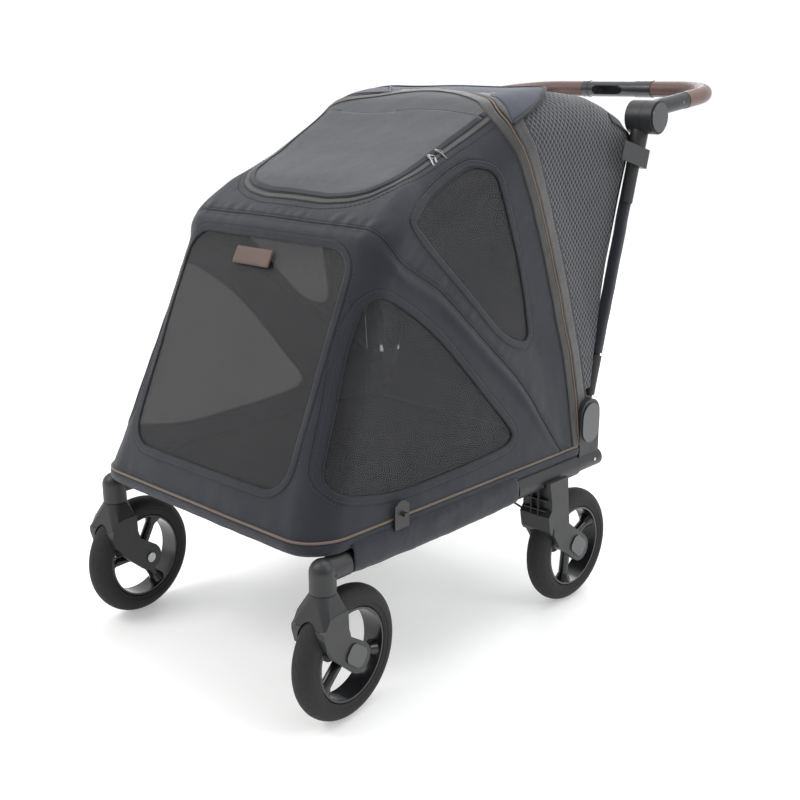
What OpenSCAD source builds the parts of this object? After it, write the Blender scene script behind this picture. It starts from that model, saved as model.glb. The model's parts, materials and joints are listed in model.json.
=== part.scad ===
// Folding pet stroller: four wheels, a tubular chassis, two folding bows under a fabric cabin with
// mesh windows, and a U-shaped push handle on two knuckles. Sizes in millimetres, +Z up, ground at
// z = 0, front towards -Y. Y sizes are counted from the front axle and shifted by origin_y.

/* [Wheels] */
// Outer diameter of every wheel
wheel_d = 220; // [200:5:230]
// Width of the tyre
tyre_w = 45; // [40:1:46]
// Distance between the left and right wheel centres
track = 554; // [550:2:560]
// Distance between the front and rear axles
wheelbase = 588; // [570:2:600]
// Distance of a front axle behind its swivel axis
trail = 46; // [42:1:50]
// Angle at which both front casters stand at rest
caster_yaw = 6; // [0:1:10]
// Diameter of the wheel axles
axle_d = 12; // [10:1:14]

/* [Chassis] */
// Height of the side rails' centre line
rail_z = 267; // [265:1:269]
// Diameter of the side rails
rail_d = 26; // [22:1:28]
// Thickness of the floor board
board_t = 5; // [4:1:6]
// Thickness of the floor mat
mat_t = 13; // [8:1:14]

/* [Cabin] */
// Height of the cabin's lower rim
rim_z = 300; // [298:1:304]
// Half of the cabin's width at the rim
rim_half = 286; // [282:1:288]
// Half of the cabin's width at the brow
brow_half = 248; // [244:1:252]
// Height of the brow over the front window
brow_z = 748; // [735:1:760]
// Height of the roof
roof_z = 950; // [940:1:955]
// Thickness of the cover fabric
cloth_t = 3; // [2:0.5:4]

/* [Handle] */
// Height of the fold hinge
hinge_z = 344; // [340:1:348]
// Distance of the fold hinge behind the front axle
hinge_y = 636; // [630:1:640]
// Backward lean of the handle tubes
handle_lean = 14.8; // [12:0.1:16]
// Length from the fold hinge to the handlebar knuckle
handle_len = 579; // [560:1:600]
// Half of the distance between the handle tubes
handle_half = 260; // [258:1:262]
// Rise of the handlebar above the horizontal
bar_rise = 6.8; // [4:0.1:9]
// Length of the handlebar behind its knuckle
bar_len = 322; // [300:1:340]
// Diameter of the handlebar's metal tube
bar_d = 28; // [26:1:30]

/* [Hidden] */
$fn = 64;
// rounded fabric outlines are hulls, so they take coarser circles
soft_fn = 28;
// the part's origin lies this far behind the front axle and beside the middle, because both
// casters are turned to the same side
origin_y = 514.5;
origin_x = -2.57;
// cross tubes under the floor
cross_front_y = 30;
cross_rear_y = 520;
cross_r = 10;
// running clearance of a shaft in its hole, and the gap between covers
run = 0.05;
gap = 0.4;
wheel_r = wheel_d / 2;
axle_r = axle_d / 2;
track_half = track / 2;
rail_r = rail_d / 2;
swivel_y = -trail;
// wheels: the tyre's bead radius, the rim's inner radius and the three spokes
bead_r = 78;
barrel_r = 73;
spoke_r = 9;
hub_r = 17;
hub_w = 46;
// fork and leg: inner faces, outer faces and the end round the axle
leg_in = 24.5;
leg_out = 33;
leg_end_r = 25;
cap_l = 46;
cap_w = 33;
cap_t = 4;
cap_in = 31.6;
cap_pocket = 29.9;
well_r = wheel_r + 3;
// caster housing and swivel
split_z = 228.5;
collar_r = 21;
elbow_z = 262;
pin_r = 7;
bush_r = 9;
// floor
board_z = rim_z - mat_t - board_t - gap;
rim_corner = 60;
rim_front = -66;
rim_rear = 612;
// cover: the front panel's and the roof's slopes
front_slope = 0.437;
roof_start = 112;
roof_end = 449;
roof_bend = 930;
panel_cut = 52;
side_cut = 190;
brow_seam = brow_z + 8;
zip_top_y = 440;
zip_foot_y = 596;
// bows
bow_w = 16;
bow_t = 5;
bow_corner = 60;
front_bow_out = 236;
middle_bow_out = 229;
front_bow_angle = 142;
front_bow_len = 645;
middle_bow_angle = 108;
middle_bow_len = 592;
fold_pin_r = 4;
// handle frame: the tubes run behind the fold hinge
tube_back = 18.7;
tube_foot = 48;
knuckle_r = 31;
bar_x = 252;
bar_bend = 108;
bar_r = bar_d / 2;
grip_r = 16.5;
housing_half = 88;
socket_end = 165;
button_x = -20;
// zip pulls: where the roof zip's sliders stand
pull_x = 184;
pull_z = 872;
// brake cable: route of the right-hand cable, from the pedal's bracket to the rear leg
brake_route = [[66, 514, 251], [90, 490, 256], [120, 462, 260], [160, 442, 256],
    [200, 437, 246], [225, 450, 232], [236, 475, 214], [239, 500, 196], [241, 520, 180]];

// ---------- placing ----------

module both_sides() {
    children();
    mirror([1, 0, 0]) children();
}

// right (side 1) or left (side -1) copy of a part drawn on the right
module on_side(side) {
    if (side > 0) children();
    else mirror([1, 0, 0]) children();
}

module from_front() {
    translate([-origin_x, -origin_y, 0]) children();
}

// wheel coordinates: X outwards along the axle, Y backwards, Z up, origin at the wheel's centre
module at_caster(side) {
    from_front() translate([side * track_half, swivel_y, 0]) rotate([0, 0, caster_yaw])
        translate([0, trail, wheel_r]) on_side(side) children();
}

module at_rear(side) {
    from_front() translate([side * track_half, wheelbase, wheel_r]) on_side(side) children();
}

module along_x() {
    rotate([0, 90, 0]) children();
}

module along_y() {
    rotate([-90, 0, 0]) children();
}

// handle coordinates: origin at the fold hinge, Z along the tubes
module at_handle() {
    from_front() translate([0, hinge_y, hinge_z]) rotate([-handle_lean, 0, 0]) children();
}

// handlebar coordinates: origin at the knuckle, Y along the bar
module at_bar() {
    at_handle() translate([0, tube_back, handle_len]) rotate([handle_lean + bar_rise, 0, 0])
        children();
}

// bow coordinates: origin at the fold hinge, Y along the bow's arms
module at_bow(angle) {
    from_front() translate([0, hinge_y, hinge_z]) rotate([angle, 0, 0]) children();
}

module x_tube(x0, x1, r) {
    translate([x0, 0, 0]) along_x() cylinder(h = x1 - x0, r = r);
}

module rounded_square(size, r) {
    for (x = [-1, 1], y = [-1, 1])
        translate([x * (size[0] / 2 - r), y * (size[1] / 2 - r)]) circle(r);
    square([size[0] - 2 * r, size[1]], center = true);
    square([size[0], size[1] - 2 * r], center = true);
}

// ---------- wheels ----------

module tyre() {
    crown_r = tyre_w / 2;
    crown_y = wheel_r - crown_r;
    color([0.17, 0.16, 0.17]) along_x() rotate_extrude() difference() {
        union() {
            translate([crown_y, 0]) circle(crown_r);
            translate([bead_r, -tyre_w * 0.41]) square([12, tyre_w * 0.82]);
        }
        translate([bead_r - 40, -tyre_w]) square([40, 2 * tyre_w]);
        for (side = [-1, 1], ring = [0, 1])
            translate([bead_r + 6 + 6 * ring, side * crown_r * 0.99]) circle(0.9);
        translate([wheel_r - 2, -1]) square([4, 2]);
    }
}

module rim(spoke_turn) {
    color([0.11, 0.11, 0.12]) difference() {
        union() {
            along_x() rotate_extrude() difference() {
                translate([barrel_r, -18.5]) square([bead_r - barrel_r, 37]);
                for (side = [-1, 1]) translate([bead_r + 2, side * 21]) circle(4.5);
            }
            x_tube(-hub_w / 2, hub_w / 2, hub_r);
            for (i = [0:2]) rotate([spoke_turn + 120 * i, 0, 0]) {
                cylinder(h = barrel_r + 2, r = spoke_r);
                translate([0, 0, barrel_r - 14]) cylinder(h = 16, r1 = spoke_r, r2 = 16);
            }
        }
        x_tube(-hub_w, hub_w, axle_r + run);
    }
}

module axle() {
    color([0.62, 0.63, 0.65]) {
        x_tube(-leg_out, cap_pocket, axle_r);
        x_tube(-leg_out - 3, -leg_out, axle_r + 3);
    }
}

// outline of the push-button over the axle's end, from a distance beside the wheel
module cap_shape(from_x, thick, grow) {
    translate([from_x, -9, 8]) rotate([-38, 0, 0]) rotate([90, 0, 90]) linear_extrude(thick)
        rounded_square([cap_l + 2 * grow, cap_w + 2 * grow], 12 + grow);
}

module release_cap() {
    color([0.2, 0.2, 0.21]) cap_shape(cap_in, cap_t, 0);
}

// ---------- forks ----------

// space that a wheel needs, as a ring with a rounded crown
module wheel_well() {
    along_x() rotate_extrude() {
        translate([well_r - leg_in, 0]) circle(leg_in);
        translate([0, -leg_in]) square([well_r - leg_in, 2 * leg_in]);
    }
}

module leg_outline(points) {
    polygon(points);
    circle(leg_end_r);
}

// one plate of a leg at each side of the wheel; points are [back, up] from the axle
module leg_plates(points) {
    for (x = [leg_in, -leg_out]) translate([x, 0, 0])
        rotate([90, 0, 90]) linear_extrude(leg_out - leg_in) leg_outline(points);
}

module fork() {
    top = split_z - wheel_r;
    color([0.2, 0.2, 0.21]) difference() {
        union() {
            leg_plates([[-58, 92], [-26, 92], [-25, 60], [-20, 44], [16, 20], [-16, -19],
                [-60, 20], [-76, 46], [-82, 72]]);
            hull() {
                translate([0, -trail, top - 8]) cylinder(h = 8, r = collar_r, $fn = 32);
                translate([-leg_out, -trail - 22, 84]) cube([2 * leg_out, 40, 6]);
                translate([-leg_out, -trail - 36, 62]) cube([2 * leg_out, 20, 6]);
            }
            hull() {
                translate([-leg_out, -trail - 36, 62]) cube([2 * leg_out, 20, 10]);
                translate([-leg_out, -trail - 30, 40]) cube([2 * leg_out, 14, 6]);
            }
        }
        wheel_well();
        x_tube(-60, 60, axle_r);
        cap_shape(cap_pocket, 10, gap);
        translate([0, -trail, top - 12]) cylinder(h = 20, r = pin_r);
    }
}

module swivel_pin() {
    color([0.62, 0.63, 0.65]) translate([0, -trail, 0]) {
        translate([0, 0, split_z - wheel_r - 12]) cylinder(h = 42, r = pin_r);
        translate([0, 0, split_z - wheel_r + 30]) cylinder(h = 3, r = pin_r + 1.5);
    }
}

module caster_housings() {
    color([0.2, 0.2, 0.21]) from_front() both_sides() translate([track_half, swivel_y, 0])
        difference() {
            union() {
                translate([0, 0, split_z + 1]) cylinder(h = elbow_z - split_z - 1, r = collar_r);
                translate([0, 0, elbow_z]) sphere(collar_r);
                translate([0, 0, elbow_z]) along_y() cylinder(h = 46, r = collar_r - 1.5);
            }
            translate([0, 0, split_z]) cylinder(h = 29, r = bush_r);
            translate([0, 0, split_z + 29]) cylinder(h = 8, r = bush_r + 1);
            translate([0, 18, rail_z]) along_y() cylinder(h = 40, r = rail_r);
            translate([0, 9, elbow_z - 4]) x_tube(collar_r - 8, collar_r + 4, 1.8);
        }
}

module swivel_bushes() {
    color([0.75, 0.62, 0.35]) from_front() both_sides() translate([track_half, swivel_y, 0])
        translate([0, 0, split_z + 1]) difference() {
            cylinder(h = 28, r = bush_r);
            translate([0, 0, -1]) cylinder(h = 30, r = pin_r + run);
        }
}

// rear leg: a sleeve round the rail, two plates beside the wheel and a ribbed web in front
module rear_leg() {
    sleeve_z = rail_z - wheel_r;
    color([0.2, 0.2, 0.21]) difference() {
        union() {
            translate([0, -178, sleeve_z]) along_y() cylinder(h = 186, r = 20.5);
            leg_plates([[-106, sleeve_z], [-50, sleeve_z], [-46, 110], [-40, 62], [-18, 45],
                [14, 22], [-18, -18], [-68, 22], [-86, 48], [-95, 108]]);
            translate([-leg_out, -97, 78]) cube([2 * leg_out, 4, sleeve_z - 84]);
            for (x = [-8, 8]) translate([x - 1, -107, 88]) cube([2, 12, sleeve_z - 94]);
            for (z = [100, 120]) translate([-leg_in, -106, z]) cube([2 * leg_in, 10, 2]);
            rotate([90, 0, 90]) translate([0, 0, -leg_out]) linear_extrude(2 * leg_out)
                polygon([[-106, 90], [-92, 108], [-48, 118], [-48, 108], [-84, 84], [-94, 52],
                    [-100, 60]]);
        }
        wheel_well();
        x_tube(-60, 60, axle_r);
        cap_shape(cap_pocket, 10, gap);
        translate([0, -200, sleeve_z]) along_y() cylinder(h = 240, r = rail_r);
        translate([0, cross_rear_y - wheelbase, sleeve_z]) x_tube(-60, 0, cross_r);
        for (y = [-109, -69]) translate([16, y, sleeve_z - 6]) x_tube(0, 9, 3.2);
    }
}

module rear_axles() {
    for (side = [-1, 1]) at_rear(side) axle();
}

// ---------- chassis ----------

module side_rails() {
    color([0.16, 0.16, 0.17]) from_front() both_sides() translate([track_half, 0, rail_z])
        along_y() difference() {
            translate([0, 0, -26]) cylinder(h = 26 + 664, r = rail_r);
            translate([0, 0, -30]) cylinder(h = 700, r = rail_r - 2);
        }
}

module cross_tubes() {
    color([0.16, 0.16, 0.17]) from_front() difference() {
        for (y = [cross_front_y, cross_rear_y]) translate([0, y, rail_z])
            x_tube(-track_half, track_half, cross_r);
        both_sides() translate([track_half, 0, rail_z]) along_y() cylinder(h = 700, r = rail_r);
    }
}

module floor_outline(inset, rear) {
    depth = rear - rim_front - 2 * inset;
    translate([0, rim_front + inset + depth / 2])
        rounded_square([2 * (rim_half - inset), depth], rim_corner - inset);
}

module floor_board() {
    color([0.14, 0.14, 0.15]) from_front() translate([0, 0, board_z]) difference() {
        linear_extrude(board_t) floor_outline(6, 598);
        both_sides() translate([track_half, swivel_y, -1]) cylinder(h = board_t + 2, r = 24);
        both_sides() translate([254, 405, -1]) cube([60, 200, board_t + 2]);
    }
}

module floor_mat() {
    color([0.12, 0.12, 0.14]) from_front() translate([0, 0, board_z + board_t])
        linear_extrude(mat_t) floor_outline(24, 590);
}

// fabric band under the cabin's rim
module base_skirt() {
    color([0.1, 0.11, 0.15]) from_front() difference() {
        translate([0, 0, rim_z - 16.6]) linear_extrude(16.6 - gap) floor_outline(0, 600);
        translate([0, 0, rim_z - 20]) linear_extrude(30) floor_outline(cloth_t, 597);
        both_sides() translate([240, 405, rim_z - 20]) cube([60, 200, 8.5]);
    }
}

// fabric sleeves that close the cabin's edge round the side rails
module rail_covers() {
    color([0.1, 0.11, 0.15]) from_front() both_sides() difference() {
        translate([track_half, 4, rail_z]) along_y() linear_extrude(404) difference() {
            circle(25);
            circle(rail_r);
            translate([-40, -40]) square([80, 26.5]);
        }
        translate([0, cross_front_y, rail_z]) x_tube(200, track_half, cross_r);
    }
}

module rail_screws() {
    color([0.3, 0.3, 0.31]) for (side = [-1, 1]) {
        at_rear(side) for (y = [-109, -69]) translate([0, y, rail_z - wheel_r - 6])
            x_tube(16, 20, 3.2);
        from_front() on_side(side) translate([track_half, 646, rail_z + 3]) x_tube(15, 18.4, 3);
    }
}

// ---------- fold hinge ----------

module hinge_brackets() {
    color([0.2, 0.2, 0.21]) from_front() both_sides() difference() {
        union() {
            translate([263, hinge_y, hinge_z]) rotate([90, 0, 90]) linear_extrude(24)
                hinge_profile(31, 46);
            translate([263, hinge_y - 31, rail_z]) cube([24, 62, hinge_z - rail_z]);
            translate([track_half, 597, rail_z]) along_y() cylinder(h = 75, r = 17);
        }
        translate([track_half, 500, rail_z]) along_y() cylinder(h = 164.2, r = rail_r + gap / 2);
        translate([0, hinge_y, hinge_z]) x_tube(200, 300, fold_pin_r);
        translate([track_half, 646, rail_z + 3]) x_tube(15, 30, 3);
        translate([track_half - 40, 590, rail_z - 25]) cube([80, 7, 60]);
    }
}

// oval outline round the fold hinge
module hinge_profile(half_y, half_z) {
    translate([0, half_z - half_y]) circle(half_y);
    translate([0, half_y - half_z]) circle(half_y);
    square([2 * half_y, 2 * (half_z - half_y)], center = true);
}

module hinge_covers() {
    color([0.3, 0.3, 0.31]) from_front() both_sides()
        translate([287, hinge_y, hinge_z]) rotate([90, 0, 90]) linear_extrude(3)
            hinge_profile(27, 38);
}

module fold_pins() {
    color([0.62, 0.63, 0.65]) from_front() both_sides() translate([0, hinge_y, hinge_z]) {
        x_tube(220.5, 287, fold_pin_r);
        x_tube(217, 220.5, fold_pin_r + 3);
    }
}

module fold_knuckles() {
    color([0.2, 0.2, 0.21]) at_handle() both_sides() difference() {
        union() {
            x_tube(240, 262, 28);
            translate([240, -6, 0]) cube([22, tube_back + 17, 56]);
            translate([handle_half, tube_back, 50]) cylinder(h = 6, r = 11);
        }
        x_tube(200, 300, fold_pin_r + run);
        translate([handle_half, tube_back, tube_foot]) cylinder(h = 30, r = 7.5);
    }
}

// ---------- handle frame ----------

module handle_tubes() {
    color([0.13, 0.13, 0.14]) at_handle() both_sides() translate([handle_half, tube_back, 0])
        difference() {
            translate([0, 0, tube_foot]) cylinder(h = 430 - tube_foot, r = 7.5);
            translate([0, 0, 60]) cylinder(h = 380, r = 5.5);
        }
}

module lower_sleeves() {
    color([0.2, 0.2, 0.21]) at_handle() both_sides() translate([handle_half, tube_back, 0])
        difference() {
            translate([0, 0, 56.4]) cylinder(h = 70, r = 11);
            cylinder(h = 200, r = 7.5);
        }
}

module upper_tubes() {
    color([0.2, 0.2, 0.21]) at_handle() both_sides() translate([handle_half, tube_back, 0])
        difference() {
            union() {
                translate([0, 0, 418]) cylinder(h = 84, r = 12.5);
                translate([0, 0, 502]) cylinder(h = 8, r1 = 12.5, r2 = 17);
                translate([0, 0, 510]) cylinder(h = 69, r = 17);
            }
            cylinder(h = 430, r = 7.5);
            translate([0, 0, 400]) cylinder(h = 120, r = 9);
            translate([-handle_half, 0, handle_len]) x_tube(200, 272, knuckle_r);
            translate([-handle_half, 0, handle_len]) x_tube(272, 300, knuckle_r + gap);
        }
}

// flat clip that ties the rear cover to the tube
module mesh_clips() {
    color([0.27, 0.27, 0.28]) at_handle() both_sides() difference() {
        translate([handle_half - 14, tube_back - 72, 486]) cube([34, 89, 35]);
        translate([handle_half - 18, tube_back - 76, 480]) cube([35, 74, 50]);
        translate([handle_half, tube_back, 400]) cylinder(h = 102, r = 12.5);
        translate([handle_half, tube_back, 502]) cylinder(h = 8, r1 = 12.5, r2 = 17);
        translate([handle_half, tube_back, 510]) cylinder(h = 60, r = 17);
    }
}

module tube_knuckles() {
    color([0.2, 0.2, 0.21]) at_handle() translate([0, tube_back, handle_len]) both_sides()
        difference() {
            x_tube(241, 272, knuckle_r);
            x_tube(255, 280, 6 + run);
        }
}

module bar_knuckles() {
    color([0.2, 0.2, 0.21]) at_bar() both_sides() {
        difference() {
            union() {
                x_tube(272.5, 296, knuckle_r);
                translate([280, 6, 8]) rotate([-90, 0, 27]) cylinder(h = 58, r = 14.5);
                translate([bar_x, 42, 8]) along_y() cylinder(h = socket_end - 42, r = 15.8);
            }
            x_tube(200, 272.5, knuckle_r + 1);
            translate([bar_x, 60, 8]) along_y() cylinder(h = socket_end, r = bar_r);
            translate([bar_x, socket_end - 26, 8]) x_tube(8, 20, 3);
        }
        x_tube(256, 272.5, 6);
    }
}

module knuckle_faces() {
    color([0.27, 0.27, 0.28]) at_bar() both_sides() x_tube(296, 299, 27);
}

// right half of the handlebar's line from a distance behind the knuckle to one beside the middle
module bar_path(r, from_y, to_x) {
    translate([bar_x, from_y, 8]) along_y() cylinder(h = bar_len - bar_bend - from_y, r = r);
    translate([bar_x - bar_bend, bar_len - bar_bend, 8])
        rotate_extrude(angle = 90) translate([bar_bend, 0]) circle(r);
    translate([0, bar_len, 8]) x_tube(to_x, bar_x - bar_bend, r);
}

module handlebar_tube() {
    color([0.3, 0.3, 0.31]) at_bar() both_sides() difference() {
        union() {
            bar_path(bar_r, 60, 0);
            translate([bar_x, socket_end - 26, 8]) x_tube(12.5, 15.8, 3);
        }
        bar_path(bar_r - 2, 59, -1);
    }
}

module grips() {
    color([0.33, 0.2, 0.16]) at_bar() both_sides() difference() {
        bar_path(grip_r, socket_end + gap, housing_half + gap);
        bar_path(bar_r, 60, 0);
    }
}

// plastic shell at the middle of the handlebar, with a pocket for the release button
module release_housing() {
    color([0.16, 0.16, 0.17]) at_bar() translate([0, bar_len, 8]) difference() {
        union() {
            x_tube(-housing_half, housing_half, 17);
            x_tube(-housing_half, -72, 18);
            x_tube(47, housing_half, 18);
        }
        x_tube(-100, 100, bar_r);
        translate([button_x, -20, 0]) button_body(37 + gap, 9 + gap, 9.5);
        translate([34, -20, 0]) along_y() cylinder(h = 4, r = 2);
    }
}

// stadium-shaped block along X, pressed along Y
module button_body(half_l, half_h, depth) {
    rotate([-90, 0, 0]) linear_extrude(depth) union() {
        for (side = [-1, 1]) translate([side * (half_l - half_h), 0]) circle(half_h);
        square([2 * (half_l - half_h), 2 * half_h], center = true);
    }
}

module release_button() {
    color([0.03, 0.03, 0.03]) at_bar() translate([0, bar_len, 8]) difference() {
        translate([button_x, -19.5, 0]) button_body(37, 9, 7);
        x_tube(-80, 80, bar_r + 2.2);
    }
}

// ---------- bows ----------

// U-shaped strip with an eye at each end, in the plane of its arms
module bow(half_out, length) {
    color([0.08, 0.08, 0.09]) difference() {
        union() {
            translate([0, 0, -bow_w / 2]) linear_extrude(bow_w) bow_outline(half_out, length);
            both_sides() x_tube(half_out - bow_t, half_out, 12);
        }
        both_sides() x_tube(half_out - bow_t - 1, half_out + 1, fold_pin_r + run);
    }
}

module bow_outline(half_out, length) {
    difference() {
        bow_shape(half_out, length, bow_corner);
        translate([0, -1]) bow_shape(half_out - bow_t, length - bow_t + 1, bow_corner - bow_t);
    }
}

module bow_shape(half, length, corner) {
    for (x = [-1, 1]) translate([x * (half - corner), length - corner]) circle(corner);
    translate([-half, 0]) square([2 * half, length - corner]);
    translate([corner - half, 0]) square([2 * (half - corner), length]);
}

module front_bow() {
    at_bow(front_bow_angle) bow(front_bow_out, front_bow_len);
}

module middle_bow() {
    at_bow(middle_bow_angle) bow(middle_bow_out, middle_bow_len);
}

// ---------- cabin covers ----------

// level slices of the cabin: height, front, rear, half width and corner radius
function slice(z, front, rear, half, corner) = [z, front, rear, half, corner];
function tube_y(z) = hinge_y + 19 + (z - hinge_z) * tan(handle_lean);
function roof_front(z) = roof_start + (z - brow_z) * (roof_end - roof_start) / (roof_bend - brow_z);
SLICES = [
    slice(rim_z + gap, rim_front, rim_rear, rim_half - 1, 58),
    slice(440, rim_front + 140 * front_slope, tube_y(440) - 5, 268, 56),
    slice(brow_z - 10, roof_start - 3, tube_y(brow_z) - 4, brow_half, 50),
    slice(brow_z + 10, roof_start + 6, tube_y(brow_z) - 2, brow_half, 50),
    slice(880, roof_front(874), 780, brow_half - 2, 60),
    slice(924, roof_front(926), 764, brow_half - 22, 70),
    slice(roof_z - 6, roof_end + 32, 736, brow_half - 54, 90),
    slice(roof_z, roof_end + 72, 690, brow_half - 98, 100)];

module cabin_solid(inset) {
    hull() for (s = SLICES) {
        front = s[1] + inset;
        rear = s[2] - inset;
        drop = s[0] > brow_z + 20 ? inset : 0;
        translate([0, (front + rear) / 2, s[0] - drop]) linear_extrude(0.1)
            rounded_square([2 * (s[3] - inset), rear - front], s[4] - inset, $fn = soft_fn);
    }
}

// fabric skin of the cabin; depth is how far its outer face lies inside the cabin's outline
module cabin_skin(depth, thick) {
    difference() {
        cabin_solid(depth);
        translate([0, 0, -1]) cabin_solid(depth + thick);
        translate([-400, -400, 0]) cube([800, 1600, rim_z + gap]);
        both_sides() translate([208, 599, 0]) cube([200, 200, hinge_z + 70]);
    }
}

// half-spaces that part the cabin into its panels
module before_front_seam(shift = 0) {
    translate([-400, panel_cut + rim_front - shift, rim_z])
        rotate([-atan(front_slope), 0, 0]) translate([0, -900, -200]) cube([800, 900, 1200]);
}

module below_brow(shift = 0) {
    translate([-400, -400, 0]) cube([800, 1600, brow_seam - shift]);
}

module behind_zip(shift = 0) {
    lean = atan((zip_foot_y - zip_top_y) / (roof_z - rim_z));
    translate([-400, zip_foot_y + shift, rim_z]) rotate([lean, 0, 0]) translate([0, 0, -200])
        cube([800, 900, 1200]);
}

module above_roof_seam(shift = 0) {
    translate([-side_cut + shift, -400, brow_seam + shift])
        cube([2 * (side_cut - shift), 1600, 400]);
}

module front_window(grow) {
    translate([0, rim_front, rim_z]) rotate([90 - atan(front_slope), 0, 0])
        translate([0, 255, -40]) linear_extrude(80)
            rounded_square([392 + 2 * grow, 386 + 2 * grow], 42, $fn = soft_fn);
}

// rounded triangle, given as [back, up] corners, cut through the side walls
module side_window(corners, grow) {
    for (side = [0, 1]) mirror([side, 0, 0]) translate([180, 0, 0]) rotate([90, 0, 90])
        linear_extrude(120) hull() for (c = corners) translate(c) circle(28 + grow, $fn = 24);
}

LOWER_WINDOW = [[128, 618], [36, 416], [56, 384], [372, 386]];
UPPER_WINDOW = [[312, 806], [204, 748], [432, 562]];

module side_windows(grow) {
    side_window(LOWER_WINDOW, grow);
    side_window(UPPER_WINDOW, grow);
}

module roof_opening(grow) {
    translate([0, 275.5, 700]) linear_extrude(400)
        rounded_square([2 * (168 + grow), 269 + 2 * grow], 40, $fn = soft_fn);
}

module front_panel() {
    color([0.1, 0.11, 0.15]) from_front() difference() {
        intersection() {
            cabin_skin(0, cloth_t);
            before_front_seam();
            below_brow();
        }
        front_window(0);
        side_windows(0);
    }
}

module front_mesh() {
    color([0.06, 0.06, 0.07]) from_front() intersection() {
        cabin_skin(1, 1);
        front_window(-gap);
        before_front_seam();
        below_brow();
    }
}

module side_panel(side) {
    color([0.1, 0.11, 0.15]) from_front() difference() {
        cabin_skin(0, cloth_t);
        intersection() {
            before_front_seam(-gap);
            below_brow(-gap);
        }
        behind_zip();
        side_windows(0);
        translate([side > 0 ? -400 : 0, -400, 0]) cube([400, 1600, 1200]);
        translate([-side_cut, -400, 0]) cube([2 * side_cut, 1600, 1200]);
    }
}

module side_meshes() {
    color([0.06, 0.06, 0.07]) from_front() intersection() {
        cabin_skin(1, 1);
        side_windows(-gap);
    }
}

module roof_panel() {
    color([0.13, 0.14, 0.18]) from_front() difference() {
        intersection() {
            cabin_skin(0, cloth_t);
            above_roof_seam(gap);
        }
        behind_zip();
        roof_opening(0);
    }
}

// zip-off mesh panel of the roof
module roof_mesh() {
    color([0.1, 0.1, 0.11]) from_front() intersection() {
        cabin_skin(0.5, 2);
        roof_opening(-1);
        translate([-400, -400, brow_seam + 1]) cube([800, 1600, 400]);
    }
}

module rear_cover() {
    color([0.08, 0.09, 0.12]) from_front() intersection() {
        cabin_skin(0, cloth_t);
        behind_zip(gap);
    }
}

module leather_patch() {
    color([0.35, 0.22, 0.17]) from_front() translate([0, rim_front, rim_z])
        rotate([90 - atan(front_slope), 0, 0]) translate([-42, 402, -0.7])
            linear_extrude(1.6) rounded_square([74, 27], 3);
}

// ---------- fittings ----------

// hook on each side rim that holds the folded frame shut
module storage_hooks() {
    color([0.27, 0.27, 0.28]) from_front() both_sides() translate([rim_half + 5, 110, 0]) {
        translate([0, 0, 311]) rotate([90, 0, 90]) linear_extrude(3) union() {
            translate([0, 9]) circle(16);
            translate([0, -2]) square([32, 40], center = true);
        }
        translate([-5, -16, rim_z - 14]) cube([5, 32, 10]);
        translate([3, -2, 311]) cube([7, 8, 5]);
    }
}

// one pull of the roof zip, hanging from its slider
module zip_pull() {
    difference() {
        rotate([90, 0, 90]) linear_extrude(2) difference() {
            union() {
                circle(4);
                translate([-5, -21]) square([10, 19]);
                translate([0, -21]) circle(5);
            }
            translate([-3, -21]) square([6, 16]);
        }
        x_tube(-1, 3, 1.6);
    }
}

module zip_pulls() {
    color([0.45, 0.45, 0.47]) from_front() for (y = [300, 317])
        translate([pull_x, y, pull_z]) rotate([0, -86, 0]) zip_pull();
}

// foot pedal on the rear cross tube: two arms and a foot bar
module brake_pedal() {
    color([0.16, 0.16, 0.17]) from_front() translate([0, cross_rear_y, rail_z]) difference() {
        union() {
            for (x = [-60, 48]) translate([x, 0, 0]) {
                x_tube(0, 12, 14);
                rotate([-28, 0, 0]) translate([1, 0, -7]) cube([10, 118, 14]);
            }
            rotate([-28, 0, 0]) translate([0, 118, 0]) x_tube(-95, 95, 10);
        }
        x_tube(-100, 100, cross_r + run);
    }
}

// ring of a round cable, square to the route at point i
function route_dir(p, i) = let (a = p[max(i - 1, 0)], b = p[min(i + 1, len(p) - 1)])
    (b - a) / norm(b - a);
function ring_points(p, i, r, n) = let (d = route_dir(p, i), side = cross(d, [0, 0, 1]),
    u = side / norm(side), v = cross(d, u))
    [for (k = [0:n - 1]) p[i] + r * (cos(360 * k / n) * u + sin(360 * k / n) * v)];

module cable(route, r) {
    n = 8;
    rings = len(route);
    points = [for (i = [0:rings - 1]) each ring_points(route, i, r, n)];
    walls = [for (i = [0:rings - 2], k = [0:n - 1]) let (m = (k + 1) % n)
        [i * n + k, (i + 1) * n + k, (i + 1) * n + m, i * n + m]];
    ends = [[for (k = [0:n - 1]) k], [for (k = [n - 1:-1:0]) (rings - 1) * n + k]];
    polyhedron(points, concat(walls, ends));
}

module brake_cables() {
    color([0.05, 0.05, 0.05]) from_front() both_sides() cable(brake_route, 2);
}

// ---------- nodes ----------

side_rails();
cross_tubes();
floor_board();
floor_mat();
rail_covers();
base_skirt();
caster_housings();
swivel_bushes();
at_caster(1) fork();  // fork_right
at_caster(-1) fork();  // fork_left
at_caster(1) swivel_pin();  // swivel_pin_right
at_caster(-1) swivel_pin();  // swivel_pin_left
at_caster(1) axle();  // axle_front_right
at_caster(-1) axle();  // axle_front_left
rear_axles();
at_rear(1) rear_leg();  // rear_leg_right
at_rear(-1) rear_leg();  // rear_leg_left
at_caster(1) rim(-109);  // rim_front_right
at_caster(-1) rim(-30);  // rim_front_left
at_rear(1) rim(-66);  // rim_rear_right
at_rear(-1) rim(20);  // rim_rear_left
at_caster(1) tyre();  // tyre_front_right
at_caster(-1) tyre();  // tyre_front_left
at_rear(1) tyre();  // tyre_rear_right
at_rear(-1) tyre();  // tyre_rear_left
at_caster(1) release_cap();  // release_front_right
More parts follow.
